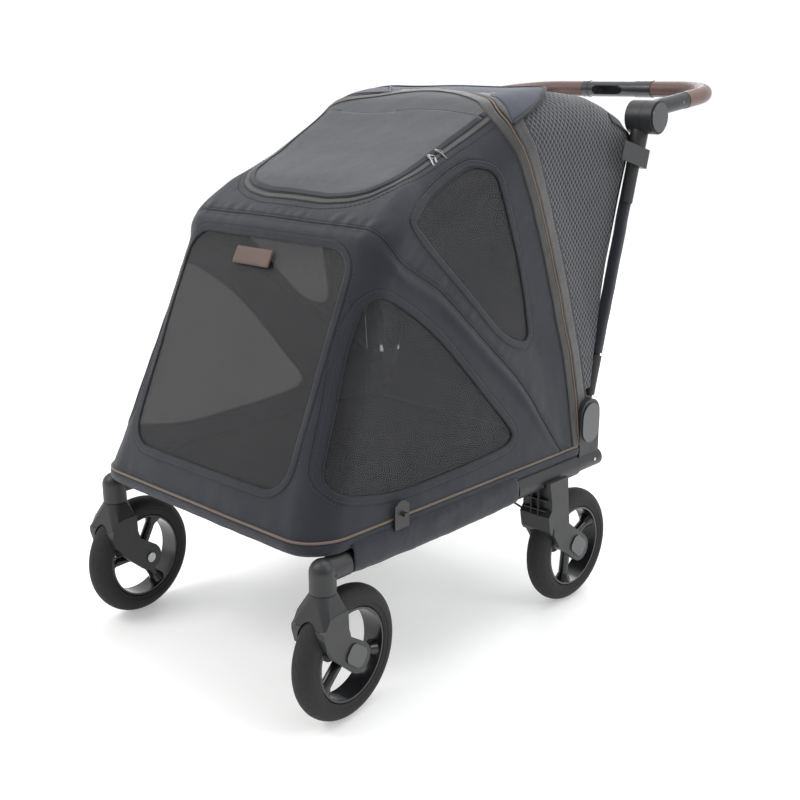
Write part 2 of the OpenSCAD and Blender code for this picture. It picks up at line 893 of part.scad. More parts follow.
at_caster(-1) release_cap();  // release_front_left
at_rear(1) release_cap();  // release_rear_right
at_rear(-1) release_cap();  // release_rear_left
rail_screws();
hinge_brackets();
hinge_covers();
fold_pins();
fold_knuckles();
handle_tubes();
lower_sleeves();
upper_tubes();
mesh_clips();
tube_knuckles();
bar_knuckles();
knuckle_faces();
handlebar_tube();
grips();
release_housing();
release_button();
front_bow();
middle_bow();
front_panel();
front_mesh();
side_panel(1);  // side_panel_right
side_panel(-1);  // side_panel_left
side_meshes();
roof_panel();
roof_mesh();
rear_cover();
leather_patch();
storage_hooks();
zip_pulls();
brake_pedal();
brake_cables();
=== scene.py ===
import bpy, bmesh, json, math
import numpy as np
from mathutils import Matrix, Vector, noise


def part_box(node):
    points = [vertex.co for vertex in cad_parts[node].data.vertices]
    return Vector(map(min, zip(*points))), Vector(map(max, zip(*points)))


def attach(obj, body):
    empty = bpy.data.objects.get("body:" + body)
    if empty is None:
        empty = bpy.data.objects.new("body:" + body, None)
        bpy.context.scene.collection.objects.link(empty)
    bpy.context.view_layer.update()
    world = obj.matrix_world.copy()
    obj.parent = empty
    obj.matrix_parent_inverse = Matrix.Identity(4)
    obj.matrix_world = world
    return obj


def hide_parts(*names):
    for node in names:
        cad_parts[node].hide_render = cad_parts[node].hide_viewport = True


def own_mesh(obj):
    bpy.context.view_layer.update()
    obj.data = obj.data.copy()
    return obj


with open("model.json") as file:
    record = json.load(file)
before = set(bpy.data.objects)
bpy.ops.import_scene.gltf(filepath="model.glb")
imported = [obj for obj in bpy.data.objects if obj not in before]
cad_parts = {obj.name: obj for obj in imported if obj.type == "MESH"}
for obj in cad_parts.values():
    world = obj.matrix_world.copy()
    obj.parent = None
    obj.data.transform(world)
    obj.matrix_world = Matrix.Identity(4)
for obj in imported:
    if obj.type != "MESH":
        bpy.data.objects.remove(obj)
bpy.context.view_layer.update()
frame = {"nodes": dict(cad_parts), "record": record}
nodes = frame["nodes"]
OX, OY = 0.00257, -0.5145      # front-axle frame -> row frame


def row(p):
    """a point from the front-axle frame in the row frame"""
    return Vector((p[0] + OX, p[1] + OY, p[2]))


# ------------------------------------------------------------------ camera and studio
LENS_MM, SENSOR_MM = 50.86, 36.0
CAMERA_AT = (1.4238, -1.0954, 0.9744)
CAMERA_AZIMUTH, CAMERA_ELEVATION = 43.274, 16.0414
BRIGHT_SIDE = (-0.60, 0.62, 0.50)       # where the studio's walls are brightest
SKY_DIM, SKY_FULL = 0.30, 1.05

scene = bpy.context.scene
cam_data = bpy.data.cameras.new("camera")
cam_data.lens = LENS_MM
cam_data.sensor_width = SENSOR_MM
cam = bpy.data.objects.new("camera", cam_data)
cam.location = row(CAMERA_AT)
az, el = math.radians(CAMERA_AZIMUTH), math.radians(CAMERA_ELEVATION)
back = Vector((math.sin(az) * math.cos(el), -math.cos(az) * math.cos(el), math.sin(el)))
cam.rotation_euler = back.to_track_quat("Z", "Y").to_euler()
scene.collection.objects.link(cam)
scene.camera = cam

world = bpy.data.worlds.new("studio")
world.use_nodes = True
sky_tree = world.node_tree
sky_coord = sky_tree.nodes.new("ShaderNodeTexCoord")
sky_dot = sky_tree.nodes.new("ShaderNodeVectorMath")
sky_dot.operation = "DOT_PRODUCT"
sky_dot.inputs[1].default_value = BRIGHT_SIDE
sky_tree.links.new(sky_coord.outputs["Generated"], sky_dot.inputs[0])
sky_range = sky_tree.nodes.new("ShaderNodeMapRange")
sky_range.inputs["From Min"].default_value = -0.6
sky_range.inputs["From Max"].default_value = 0.25
sky_range.inputs["To Min"].default_value = SKY_DIM
sky_range.inputs["To Max"].default_value = SKY_FULL
sky_tree.links.new(sky_dot.outputs["Value"], sky_range.inputs["Value"])
sky_tree.links.new(sky_range.outputs[0], sky_tree.nodes["Background"].inputs[1])
sky_tree.nodes["Background"].inputs[0].default_value = (0.98, 0.985, 1.0, 1)
scene.world = world
scene.view_settings.view_transform = "Standard"


def area_light(name, loc, target, size, power, colour=(1, 1, 1)):
    """soft square lamp aimed at a point"""
    d = bpy.data.lights.new(name, "AREA")
    d.energy = power
    d.size = size
    d.color = colour
    o = bpy.data.objects.new(name, d)
    o.location = loc
    o.rotation_euler = (Vector(loc) - Vector(target)).to_track_quat("Z", "Y").to_euler()
    scene.collection.objects.link(o)


area_light("key", (-1.2, -2.4, 3.0), (0, 0, 0.45), 1.4, 46, (1, 0.99, 0.97))
area_light("side", (2.8, 0.6, 2.2), (0, 0, 0.5), 1.2, 20, (0.96, 0.98, 1))
area_light("top", (0.2, 0.8, 3.4), (0, 0, 0.5), 2.2, 45, (1, 1, 1))
area_light("rear", (-1.8, 2.6, 2.0), (0, 0, 0.5), 1.6, 20, (0.95, 0.97, 1))


# ------------------------------------------------------------------ materials
class Mat:
    def __init__(self, name, colour, rough, metallic=0.0, **sockets):
        self.m = bpy.data.materials.new(name)
        self.m.use_nodes = True
        self.t = self.m.node_tree
        self.b = self.t.nodes["Principled BSDF"]
        self.b.inputs["Base Color"].default_value = (*colour, 1)
        self.b.inputs["Roughness"].default_value = rough
        self.b.inputs["Metallic"].default_value = metallic
        for k, v in sockets.items():
            self.b.inputs[k.replace("_", " ")].default_value = v
        self.colour = colour
        self.rough = rough
        self._coord = None

    def node(self, kind, **props):
        n = self.t.nodes.new(kind)
        for k, v in props.items():
            setattr(n, k, v)
        return n

    def link(self, a, b):
        self.t.links.new(a, b)

    def coord(self, which="Object"):
        if self._coord is None:
            self._coord = self.node("ShaderNodeTexCoord")
        return self._coord.outputs[which]

    def math(self, op, a, b=None, clamp=False):
        n = self.node("ShaderNodeMath", operation=op, use_clamp=clamp)
        for i, v in enumerate((a, b)):
            if v is None:
                continue
            if isinstance(v, (int, float)):
                n.inputs[i].default_value = v
            else:
                self.link(v, n.inputs[i])
        return n.outputs[0]

    def noise(self, scale, detail=3.0, rough=0.5, which="Object", stretch=(1, 1, 1)):
        n = self.node("ShaderNodeTexNoise")
        n.inputs["Scale"].default_value = scale
        n.inputs["Detail"].default_value = detail
        n.inputs["Roughness"].default_value = rough
        if stretch != (1, 1, 1):
            mp = self.node("ShaderNodeMapping")
            mp.inputs["Scale"].default_value = stretch
            self.link(self.coord(which), mp.inputs["Vector"])
            self.link(mp.outputs[0], n.inputs["Vector"])
        else:
            self.link(self.coord(which), n.inputs["Vector"])
        return n.outputs["Fac"]

    def xyz(self, which="Object", rot=0.0):
        src = self.coord(which)
        if rot:
            mp = self.node("ShaderNodeMapping")
            mp.inputs["Rotation"].default_value = (0, 0, rot)
            self.link(src, mp.inputs["Vector"])
            src = mp.outputs[0]
        s = self.node("ShaderNodeSeparateXYZ")
        self.link(src, s.inputs[0])
        return s.outputs

    def ramp(self, fac, stops):
        r = self.node("ShaderNodeValToRGB")
        els = r.color_ramp.elements
        while len(els) < len(stops):
            els.new(0.5)
        for e, (p, c) in zip(els, stops):
            e.position = p
            e.color = (*c, 1) if len(c) == 3 else c
        self.link(fac, r.inputs["Fac"])
        return r.outputs["Color"]

    def vary(self, fac, lo, hi):
        """base colour runs from lo to hi times the stated colour with fac"""
        c = self.colour
        out = self.ramp(fac, [(0.25, tuple(v * lo for v in c)), (0.75, tuple(min(1, v * hi) for v in c))])
        self.link(out, self.b.inputs["Base Color"])
        return out

    def roughness(self, fac, lo, hi):
        n = self.node("ShaderNodeMapRange")
        n.inputs["To Min"].default_value = lo
        n.inputs["To Max"].default_value = hi
        n.inputs["From Min"].default_value = 0.3
        n.inputs["From Max"].default_value = 0.7
        self.link(fac, n.inputs["Value"])
        self.link(n.outputs[0], self.b.inputs["Roughness"])

    def bump(self, height, strength, distance):
        n = self.node("ShaderNodeBump")
        n.inputs["Strength"].default_value = strength
        n.inputs["Distance"].default_value = distance
        self.link(height, n.inputs["Height"])
        old = self.b.inputs["Normal"].links
        if old:
            self.link(old[0].from_socket, n.inputs["Normal"])
        self.link(n.outputs[0], self.b.inputs["Normal"])
        return n


def woven(name, colour, pitch, rough=0.85, sheen=0.25, lo=0.75, hi=1.35, patch=9.0, **kw):
    """plain weave in UV metres: over-under threads, slubs and a soft large-scale unevenness"""
    m = Mat(name, colour, rough, **{"Sheen_Weight": sheen, "Sheen_Roughness": 0.5,
        "Specular_IOR_Level": 0.25}, **kw)
    u, v, _ = m.xyz("UV")
    k = 2 * math.pi / pitch
    su = m.math("SINE", m.math("MULTIPLY", u, k))
    sv = m.math("SINE", m.math("MULTIPLY", v, k))
    weave = m.math("MULTIPLY", su, sv)
    au = m.math("ABSOLUTE", su)
    av = m.math("ABSOLUTE", sv)
    threads = m.math("ADD", m.math("MULTIPLY", weave, 0.35), m.math("MULTIPLY", m.math("ADD", au, av), 0.3))
    slub = m.noise(260, 2, 0.6, stretch=(1, 1, 0.25))
    large = m.noise(patch, 4, 0.55)
    fac = m.math("ADD", m.math("MULTIPLY", large, 0.6),
        m.math("MULTIPLY", m.math("ADD", slub, m.math("MULTIPLY", threads, 0.35)), 0.4))
    m.vary(fac, lo, hi)
    m.roughness(slub, rough - 0.06, min(1, rough + 0.06))
    m.bump(threads, 0.5, pitch * 0.3)
    m.bump(large, 0.25, 0.004)
    return m


def net(name, colour, pitch, alpha, rough=0.6, lo=0.6, hi=1.5, fibre=70.0):
    """fine knitted net: rows of yarn with gaps, seen through by alpha"""
    k = Mat(name, colour, rough)
    k.b.inputs["Sheen Weight"].default_value = 0.15
    k.b.inputs["Alpha"].default_value = alpha
    u, v, _ = k.xyz("UV")
    step = math.pi / pitch
    rows = k.math("ABSOLUTE", k.math("SINE", k.math("MULTIPLY", u, step)))
    cols = k.math("ABSOLUTE", k.math("SINE", k.math("MULTIPLY", v, step)))
    yarn = k.math("MAXIMUM", rows, cols)
    cloudy = k.noise(fibre, 3, 0.7)
    k.vary(k.math("ADD", k.math("MULTIPLY", yarn, 0.45), k.math("MULTIPLY", cloudy, 0.6)), lo, hi)
    k.bump(yarn, 0.25, pitch * 0.2)
    return k


def spacer(name, colour):
    """coarse spacer mesh: staggered upright holes between thick yarns, with painted shade in and around the
    holes
    """
    k = Mat(name, colour, 0.7)
    k.b.inputs["Sheen Weight"].default_value = 0.3
    u, v, _ = k.xyz("UV")
    a = k.math("MULTIPLY", u, math.pi / HOLE_ACROSS)
    b = k.math("MULTIPLY", v, math.pi / HOLE_UP / 2)
    f = k.math("MULTIPLY", k.math("ABSOLUTE", k.math("SINE", k.math("ADD", a, b))),
               k.math("ABSOLUTE", k.math("SINE", k.math("SUBTRACT", a, b))))
    # painted shade: the yarn is lighter on its crests and darkens towards the holes, which are painted
    # near-black
    c = k.colour
    col = k.ramp(f, [(0.26, tuple(1.7 * q for q in c)), (0.42, tuple(0.8 * q for q in c)),
        (0.50, (0.0015, 0.0015, 0.002))])
    k.link(col, k.b.inputs["Base Color"])
    inv = k.math("SUBTRACT", 1.0, f)
    k.bump(inv, 0.8, 0.0022)
    return k


HOLE_ACROSS, HOLE_UP = 0.0112, 0.0067


def plastic(name, colour, rough, grain=1400.0, bump=0.25, **kw):
    """moulded plastic: fine grain, uneven gloss"""
    m = Mat(name, colour, rough, **kw)
    g = m.noise(grain, 2, 0.6)
    l = m.noise(16, 4, 0.6)
    m.vary(m.math("ADD", m.math("MULTIPLY", l, 0.7), m.math("MULTIPLY", g, 0.3)), 0.82, 1.2)
    m.roughness(l, rough - 0.07, rough + 0.08)
    m.bump(g, bump, 0.0002)
    return m


def metal(name, colour, rough):
    """drawn metal with faint brushing"""
    m = Mat(name, colour, rough, 1.0)
    s = m.noise(180, 2, 0.6, stretch=(1, 1, 30))
    l = m.noise(20, 3, 0.5)
    m.vary(l, 0.85, 1.12)
    m.roughness(s, rough - 0.08, rough + 0.1)
    m.bump(s, 0.08, 0.0002)
    return m


def leather(name, colour, rough=0.42, scale=420.0):
    """leather: cells of grain, handled patches"""
    m = Mat(name, colour, rough, **{"Specular_IOR_Level": 0.45, "Sheen_Weight": 0.12, "Coat_Weight": 0.12,
        "Coat_Roughness": 0.35})
    v = m.node("ShaderNodeTexVoronoi", feature="DISTANCE_TO_EDGE")
    v.inputs["Scale"].default_value = scale
    m.link(m.coord(), v.inputs["Vector"])
    grain = m.math("MINIMUM", m.math("MULTIPLY", v.outputs["Distance"], 4.0), 1.0)
    l = m.noise(22, 4, 0.6)
    m.vary(m.math("ADD", m.math("MULTIPLY", l, 0.75), m.math("MULTIPLY", grain, 0.2)), 0.68, 1.35)
    m.roughness(l, rough - 0.08, rough + 0.12)
    m.bump(grain, 0.35, 0.0003)
    m.bump(m.noise(60, 3), 0.12, 0.001)
    return m


def rubber(name, colour, rough=0.72):
    """rubber with a little dust"""
    m = Mat(name, colour, rough, **{"Specular_IOR_Level": 0.3})
    g = m.noise(900, 3, 0.65)
    l = m.noise(12, 4, 0.6)
    dust = m.math("ADD", m.math("MULTIPLY", l, 0.75), m.math("MULTIPLY", g, 0.25))
    m.vary(dust, 0.75, 1.45)
    m.roughness(l, rough - 0.08, rough + 0.1)
    m.bump(g, 0.3, 0.0003)
    return m


M = {
    "frame": plastic("moulded grey nylon", (0.021, 0.0215, 0.023), 0.45),
    "frame_dark": plastic("moulded black nylon", (0.010, 0.0105, 0.012), 0.42),
    "gloss": plastic("polished grey plastic", (0.026, 0.027, 0.030), 0.22, grain=600, bump=0.04,
        Coat_Weight=0.5, Coat_Roughness=0.1),
    "piano": plastic("polished black plastic", (0.006, 0.006, 0.007), 0.16, grain=600, bump=0.03,
        Coat_Weight=0.6, Coat_Roughness=0.06),
    "paint": plastic("satin black powder coat", (0.012, 0.012, 0.013), 0.38, grain=900, bump=0.12,
        Specular_IOR_Level=0.5),
    "bow": plastic("coated spring strip", (0.018, 0.018, 0.020), 0.4, grain=900, bump=0.12),
    "bar": metal("grey anodised tube", (0.20, 0.20, 0.21), 0.36),
    "steel": metal("plain steel", (0.55, 0.55, 0.56), 0.3),
    "brass": metal("bearing brass", (0.6, 0.44, 0.2), 0.35),
    "wheel": plastic("wheel plastic", (0.009, 0.0095, 0.011), 0.24, grain=700, bump=0.06, Coat_Weight=0.2,
        Coat_Roughness=0.2),
    "tyre": rubber("foamed rubber", (0.020, 0.0195, 0.0205)),
    "navy": woven("navy canvas", (0.0165, 0.0185, 0.0250), 0.0011),
    # painted shade: a darker copy of the navy canvas, for the skirt and rail covers under the rim
    "skirt": woven("shaded navy canvas", (0.013, 0.0155, 0.024), 0.0011),
    "lining": woven("grey melange lining", (0.16, 0.165, 0.18), 0.0013, lo=0.6, hi=1.5, patch=70),
    "webbing": woven("satin webbing tape", (0.021, 0.0185, 0.0180), 0.0016, rough=0.5, sheen=0.5),
    "piping": woven("bronze piping", (0.12, 0.085, 0.06), 0.0013, rough=0.5, sheen=0.3),
    "binding": woven("black binding tape", (0.0085, 0.009, 0.011), 0.0010, rough=0.75),
    "satin": woven("satin zip tape", (0.026, 0.024, 0.0235), 0.0011, rough=0.45, sheen=0.3),
    "edge": woven("folded canvas edge", (0.0150, 0.0168, 0.0230), 0.0011, rough=0.8, lo=0.85, hi=1.2),
    "thread": woven("sewing thread", (0.022, 0.024, 0.031), 0.0004, rough=0.6, sheen=0.4),
    "thread_pale": woven("pale thread", (0.16, 0.12, 0.10), 0.0004, rough=0.6),
    "net": net("window net", (0.0075, 0.008, 0.0095), 0.0013, 0.60),
    "roofnet": net("roof net", (0.040, 0.043, 0.048), 0.0016, 0.86, lo=0.55, hi=1.5),
    "rearnet": spacer("rear spacer mesh", (0.0155, 0.018, 0.025)),
    "wirepull": metal("dark nickel pull", (0.24, 0.24, 0.25), 0.28),
    "flap": woven("blue grey flap lining", (0.050, 0.056, 0.075), 0.0011, lo=0.85, hi=1.2),
    "felt": woven("dark quilted mat", (0.022, 0.023, 0.027), 0.0018),
    "leather": leather("rose brown leather", (0.115, 0.062, 0.050)),
    "patch": leather("brown leather patch", (0.10, 0.058, 0.044), 0.5, 520),
    "cable": rubber("cable housing", (0.010, 0.010, 0.011), 0.45),
    "zipmetal": metal("nickel wire", (0.5, 0.5, 0.52), 0.25),
}

floor_look = Mat("pale floor", (0.80, 0.80, 0.79), 0.7)
floor_look.vary(floor_look.noise(3, 3), 0.98, 1.02)
floor_look.b.inputs["Emission Color"].default_value = (1, 1, 1, 1)
floor_look.b.inputs["Emission Strength"].default_value = 0.32


def assign(o, *keys):
    """materials by their keys in M"""
    o.data.materials.clear()
    for k in keys:
        o.data.materials.append(M[k].m)


# ------------------------------------------------------------------ mesh helpers
def quads(q):
    """two triangles for each quad"""
    q = np.asarray(q, int).reshape(-1, 4)
    return np.vstack([q[:, [0, 1, 2]], q[:, [0, 2, 3]]])


def new_object(name, verts, tris, mats, smooth=True):
    """verts in the front-axle frame, tris as rows of three"""
    me = bpy.data.meshes.new(name)
    verts = np.asarray(verts, float) + np.array([OX, OY, 0.0])
    tris = np.asarray(tris, np.int32)
    me.vertices.add(len(verts))
    me.vertices.foreach_set("co", verts.ravel())
    me.loops.add(tris.size)
    me.loops.foreach_set("vertex_index", tris.ravel())
    me.polygons.add(len(tris))
    me.polygons.foreach_set("loop_start", np.arange(0, tris.size, 3, dtype=np.int32))
    me.update(calc_edges=True)
    me.validate()
    if smooth:
        me.polygons.foreach_set("use_smooth", [True] * len(me.polygons))
    box_uv(me)
    o = bpy.data.objects.new(name, me)
    scene.collection.objects.link(o)
    assign(o, *(mats if isinstance(mats, (list, tuple)) else [mats]))
    return o


def box_uv(me):
    """UV in metres, each face laid on the axis plane that it faces most"""
    n = len(me.loops)
    idx = np.zeros(n, np.int32)
    me.loops.foreach_get("vertex_index", idx)
    co = np.zeros(len(me.vertices) * 3)
    me.vertices.foreach_get("co", co)
    co = co.reshape(-1, 3)[idx]
    nor = np.zeros(len(me.polygons) * 3)
    me.polygons.foreach_get("normal", nor)
    nor = np.abs(nor.reshape(-1, 3))
    tot = np.zeros(len(me.polygons), np.int32)
    me.polygons.foreach_get("loop_total", tot)
    dom = np.repeat(np.argmax(nor, 1), tot)
    uv = np.where((dom == 0)[:, None], co[:, [1, 2]], np.where((dom == 1)[:, None], co[:, [0, 2]],
        co[:, [0, 1]]))
    lay = me.uv_layers[0] if me.uv_layers else me.uv_layers.new(name="UVMap")
    lay.data.foreach_set("uv", uv.ravel())


def thicken(o, t, offset=-1.0, inner=0):
    """cloth thickness, grown inwards; inner is the material slot of the inside"""
    m = o.modifiers.new("thickness", "SOLIDIFY")
    m.thickness = t
    m.offset = offset
    m.material_offset = inner
    return m


def grid_tris(n, m, close_n=False, close_m=False):
    """triangles of an n by m grid"""
    i, j = np.meshgrid(np.arange(n if close_n else n - 1), np.arange(m if close_m else m - 1), indexing="ij")
    i, j = i.ravel(), j.ravel()
    a, b = i * m + j, i * m + (j + 1) % m
    c, d = ((i + 1) % n) * m + (j + 1) % m, ((i + 1) % n) * m + j
    return quads(np.stack([a, b, c, d], 1))


def smooth_path(points, step, closed=False):
    """points resampled evenly along a Catmull-Rom curve"""
    p = np.asarray(points, float)
    n = len(p)
    out = []
    segs = n if closed else n - 1
    for i in range(segs):
        if closed:
            a, b, c, d = p[(i - 1) % n], p[i], p[(i + 1) % n], p[(i + 2) % n]
        else:
            a, b, c, d = p[max(i - 1, 0)], p[i], p[i + 1], p[min(i + 2, n - 1)]
        for t in np.linspace(0, 1, 12, endpoint=False):
            out.append(0.5 * ((2 * b) + (c - a) * t + (2 * a - 5 * b + 4 * c - d) * t * t
                + (3 * b - a - 3 * c + d) * t ** 3))
    if not closed:
        out.append(p[-1])
    return resample(np.array(out), step, closed)


def resample(p, step, closed=False):
    """even steps along the first three columns; the others are carried along"""
    q = np.vstack([p, p[:1]]) if closed else p
    d = np.r_[0, np.cumsum(np.linalg.norm(np.diff(q[:, :3], axis=0), axis=1))]
    n = max(2, int(round(d[-1] / step)))
    s = np.linspace(0, d[-1], n + 1)
    out = np.stack([np.interp(s, d, q[:, k]) for k in range(q.shape[1])], 1)
    return out[:-1] if closed else out


def tangents(p, closed):
    """unit tangents of a path"""
    t = np.roll(p, -1, 0) - np.roll(p, 1, 0) if closed else np.gradient(p, axis=0)
    return t / np.maximum(np.linalg.norm(t, axis=1, keepdims=True), 1e-9)


def sweep(path, normals, profile, closed=False):
    """profile is a list of (across, up) points, up along normals; gives verts, tris"""
    t = tangents(path, closed)
    nrm = normals - (normals * t).sum(1, keepdims=True) * t
    nrm /= np.maximum(np.linalg.norm(nrm, axis=1, keepdims=True), 1e-9)
    side = np.cross(t, nrm)
    prof = np.asarray(profile, float)
    v = path[:, None] + side[:, None] * prof[None, :, :1] + nrm[:, None] * prof[None, :, 1:2]
    n, m = len(path), len(prof)
    f = grid_tris(n, m, closed, True)
    if not closed:
        fan = np.array([(0, k + 1, k) for k in range(1, m - 1)])
        f = np.vstack([f, fan, fan[:, ::-1] + (n - 1) * m])
    return v.reshape(-1, 3), f


def circle_profile(r, n=8, squash=1.0):
    """cross-section of a cord"""
    return [(r * math.cos(2 * math.pi * k / n), r * squash * math.sin(2 * math.pi * k / n)) for k in range(n)]


def tape_profile(w, t):
    """cross-section of a flat tape"""
    return [(-w / 2, 0), (-w / 2, t * 0.55), (-w * 0.44, t), (-w * 0.2, t * 0.92), (w * 0.2, t * 0.92),
        (w * 0.44, t), (w / 2, t * 0.55), (w / 2, 0)]


def free_normals(p, closed=False, hint=(0, 0, 1)):
    """normals for a free path"""
    t = tangents(p, closed)
    h = np.tile(np.array(hint, float), (len(p), 1))
    n = h - (h * t).sum(1, keepdims=True) * t
    n[np.linalg.norm(n, axis=1) < 0.05] = np.array([1.0, 0, 0])
    return n


class Batch:
    """many small bits joined into one piece"""

    def __init__(self):
        self.v, self.f, self.n = [], [], 0

    def add(self, v, f):
        self.v.append(np.asarray(v, float))
        self.f.append(np.asarray(f, int) + self.n)
        self.n += len(v)

    def make(self, name, mats, **kw):
        return new_object(name, np.vstack(self.v), np.vstack(self.f), mats, **kw)


def stitch_set(batch, a, d, n, length, r, lift):
    """one short loop of thread from each point a along d, standing on a surface with normals n"""
    side = np.cross(d, n)
    side /= np.maximum(np.linalg.norm(side, axis=1, keepdims=True), 1e-9)
    m = 5
    s = np.array([0.0, 0.22, 0.78, 1.0]) * length
    h = np.array([-0.0004, lift, lift, -0.0004])
    ang = 2 * math.pi * np.arange(m) / m
    ring = np.stack([np.cos(ang) * r, np.sin(ang) * r], 1)
    c = a[:, None] + d[:, None] * s[None, :, None] + n[:, None] * h[None, :, None]
    v = c[:, :, None] + side[:, None, None] * ring[None, None, :, :1] + n[:, None, None] * ring[None, None,
        :, 1:2]
    f1 = grid_tris(4, m, False, True)
    k = len(a)
    f = (f1[None] + (np.arange(k) * 4 * m)[:, None, None]).reshape(-1, 3)
    batch.add(v.reshape(-1, 3), f)


def stitches(batch, path, normals, length=0.0042, gap=0.0026, r=0.0006, lift=0.0003, closed=False):
    """dashes of thread along a path on a surface"""
    p = resample(np.hstack([path, normals]), length + gap, closed)
    pts, nrm = p[:, :3], p[:, 3:]
    nrm = nrm / np.maximum(np.linalg.norm(nrm, axis=1, keepdims=True), 1e-9)
    nxt = np.roll(pts, -1, 0) if closed else pts[1:]
    a, n = (pts, nrm) if closed else (pts[:-1], nrm[:-1])
    d = nxt - a
    L = np.linalg.norm(d, axis=1)
    ok = (L > 1e-4) & (L < 0.02)
    stitch_set(batch, a[ok], d[ok] / L[ok, None], n[ok], length, r, lift)


# ------------------------------------------------------------------ the cabin's surface
Z_RIM = 0.3008


# half width of the cabin by height, in front and at the rear, and the roof's height by depth
HALF = ([0.28, 0.305, 0.35, 0.42, 0.52, 0.59, 0.64, 0.70, 0.748, 0.80, 0.87, 0.96],
        [0.285, 0.2845, 0.275, 0.265, 0.253, 0.246, 0.2425, 0.242, 0.246, 0.248, 0.248, 0.246])
HALF_REAR = ([0.28, 0.305, 0.40, 0.55, 0.70, 0.87, 0.96], [0.285, 0.2845, 0.273, 0.260, 0.253, 0.250, 0.246])
ROOF = ([-0.2, 0.08, 0.105, 0.16, 0.209, 0.25, 0.289, 0.34, 0.379, 0.41, 0.449, 0.48, 0.52, 0.57, 0.62, 0.69,
    0.74, 0.80],
        [0.735, 0.742, 0.750, 0.778, 0.803, 0.821, 0.838, 0.864, 0.885, 0.904, 0.928, 0.937, 0.943, 0.945,
            0.944, 0.936, 0.920, 0.89])


def smooth_interp(tab):
    """a table turned into a dense, rounded one"""
    xs = np.linspace(tab[0][0], tab[0][-1], 400)
    ys = np.interp(xs, *tab)
    w = 17
    k = np.hanning(w)
    k /= k.sum()
    pad = np.r_[2 * ys[0] - ys[w:0:-1], ys, 2 * ys[-1] - ys[-2:-w - 2:-1]]
    ys2 = np.convolve(pad, k, "same")[w:-w]
    return xs, ys2


HALF_T, HALF_REAR_T, ROOF_T = smooth_interp(HALF), smooth_interp(HALF_REAR), smooth_interp(ROOF)


def rounded_max(a, b, r):
    """largest of two distances with an edge of radius r"""
    u, v = np.maximum(a + r, 0), np.maximum(b + r, 0)
    return np.minimum(np.maximum(a, b), -r) + np.sqrt(u * u + v * v)


def front_y(z):
    """depth of the front wall at a height"""
    return -0.0735 + (z - 0.3) * 0.437


def rear_y(z):
    """depth of the rear wall at a height"""
    y = 0.6525 + (z - 0.344) * 0.2642
    return np.where(z < 0.36, np.minimum(y, 0.612 + np.maximum(z - 0.30, 0) * 0.75), y)


def cabin(p):
    """implicit surface of the cabin, negative inside"""
    x, y, z = p[..., 0], p[..., 1], p[..., 2]
    ax = np.abs(x)
    crown = 1 - (ax / 0.26) ** 2
    g_front = (front_y(z) - 0.006 * np.clip(crown, -0.5, 1) * np.clip((z - 0.3) / 0.1, 0, 1)
        * np.clip((0.75 - z) / 0.1, 0, 1) - y) * 0.916
    t = np.clip((y - 0.05) / 0.35, 0, 1)
    w = (1 - t) * np.interp(z, *HALF_T) + t * np.interp(z, *HALF_REAR_T)
    g_side = ax - w
    g_rear = (y - rear_y(z)) * 0.967
    roof = np.interp(y, *ROOF_T) + 0.004 * crown
    g_roof = (z - roof) * 0.86
    r_corner = np.interp(z, [0.3, 0.5, 0.75], [0.062, 0.055, 0.05])
    wall = rounded_max(g_front, g_side, r_corner)
    wall = rounded_max(wall, g_rear, 0.012)
    r_roof = np.interp(y, [0.08, 0.12, 0.17, 0.24, 0.40, 0.60, 0.76], [0.012, 0.022, 0.05, 0.075, 0.082,
        0.070, 0.055])
    return rounded_max(wall, g_roof, r_roof)


def shoot(origin, direction, far=0.9):
    """where rays from inside meet the cabin"""
    lo = np.zeros(len(origin))
    hi = np.full(len(origin), far)
    for _ in range(34):
        mid = (lo + hi) / 2
        inside = cabin(origin + direction * mid[:, None]) < 0
        lo = np.where(inside, mid, lo)
        hi = np.where(inside, hi, mid)
    return origin + direction * ((lo + hi) / 2)[:, None]


def gradient(p, e=0.0015):
    """outward normals of the cabin"""
    g = np.stack([cabin(p + d) - cabin(p - d) for d in np.eye(3) * e], -1)
    return g / np.maximum(np.linalg.norm(g, axis=-1, keepdims=True), 1e-9)


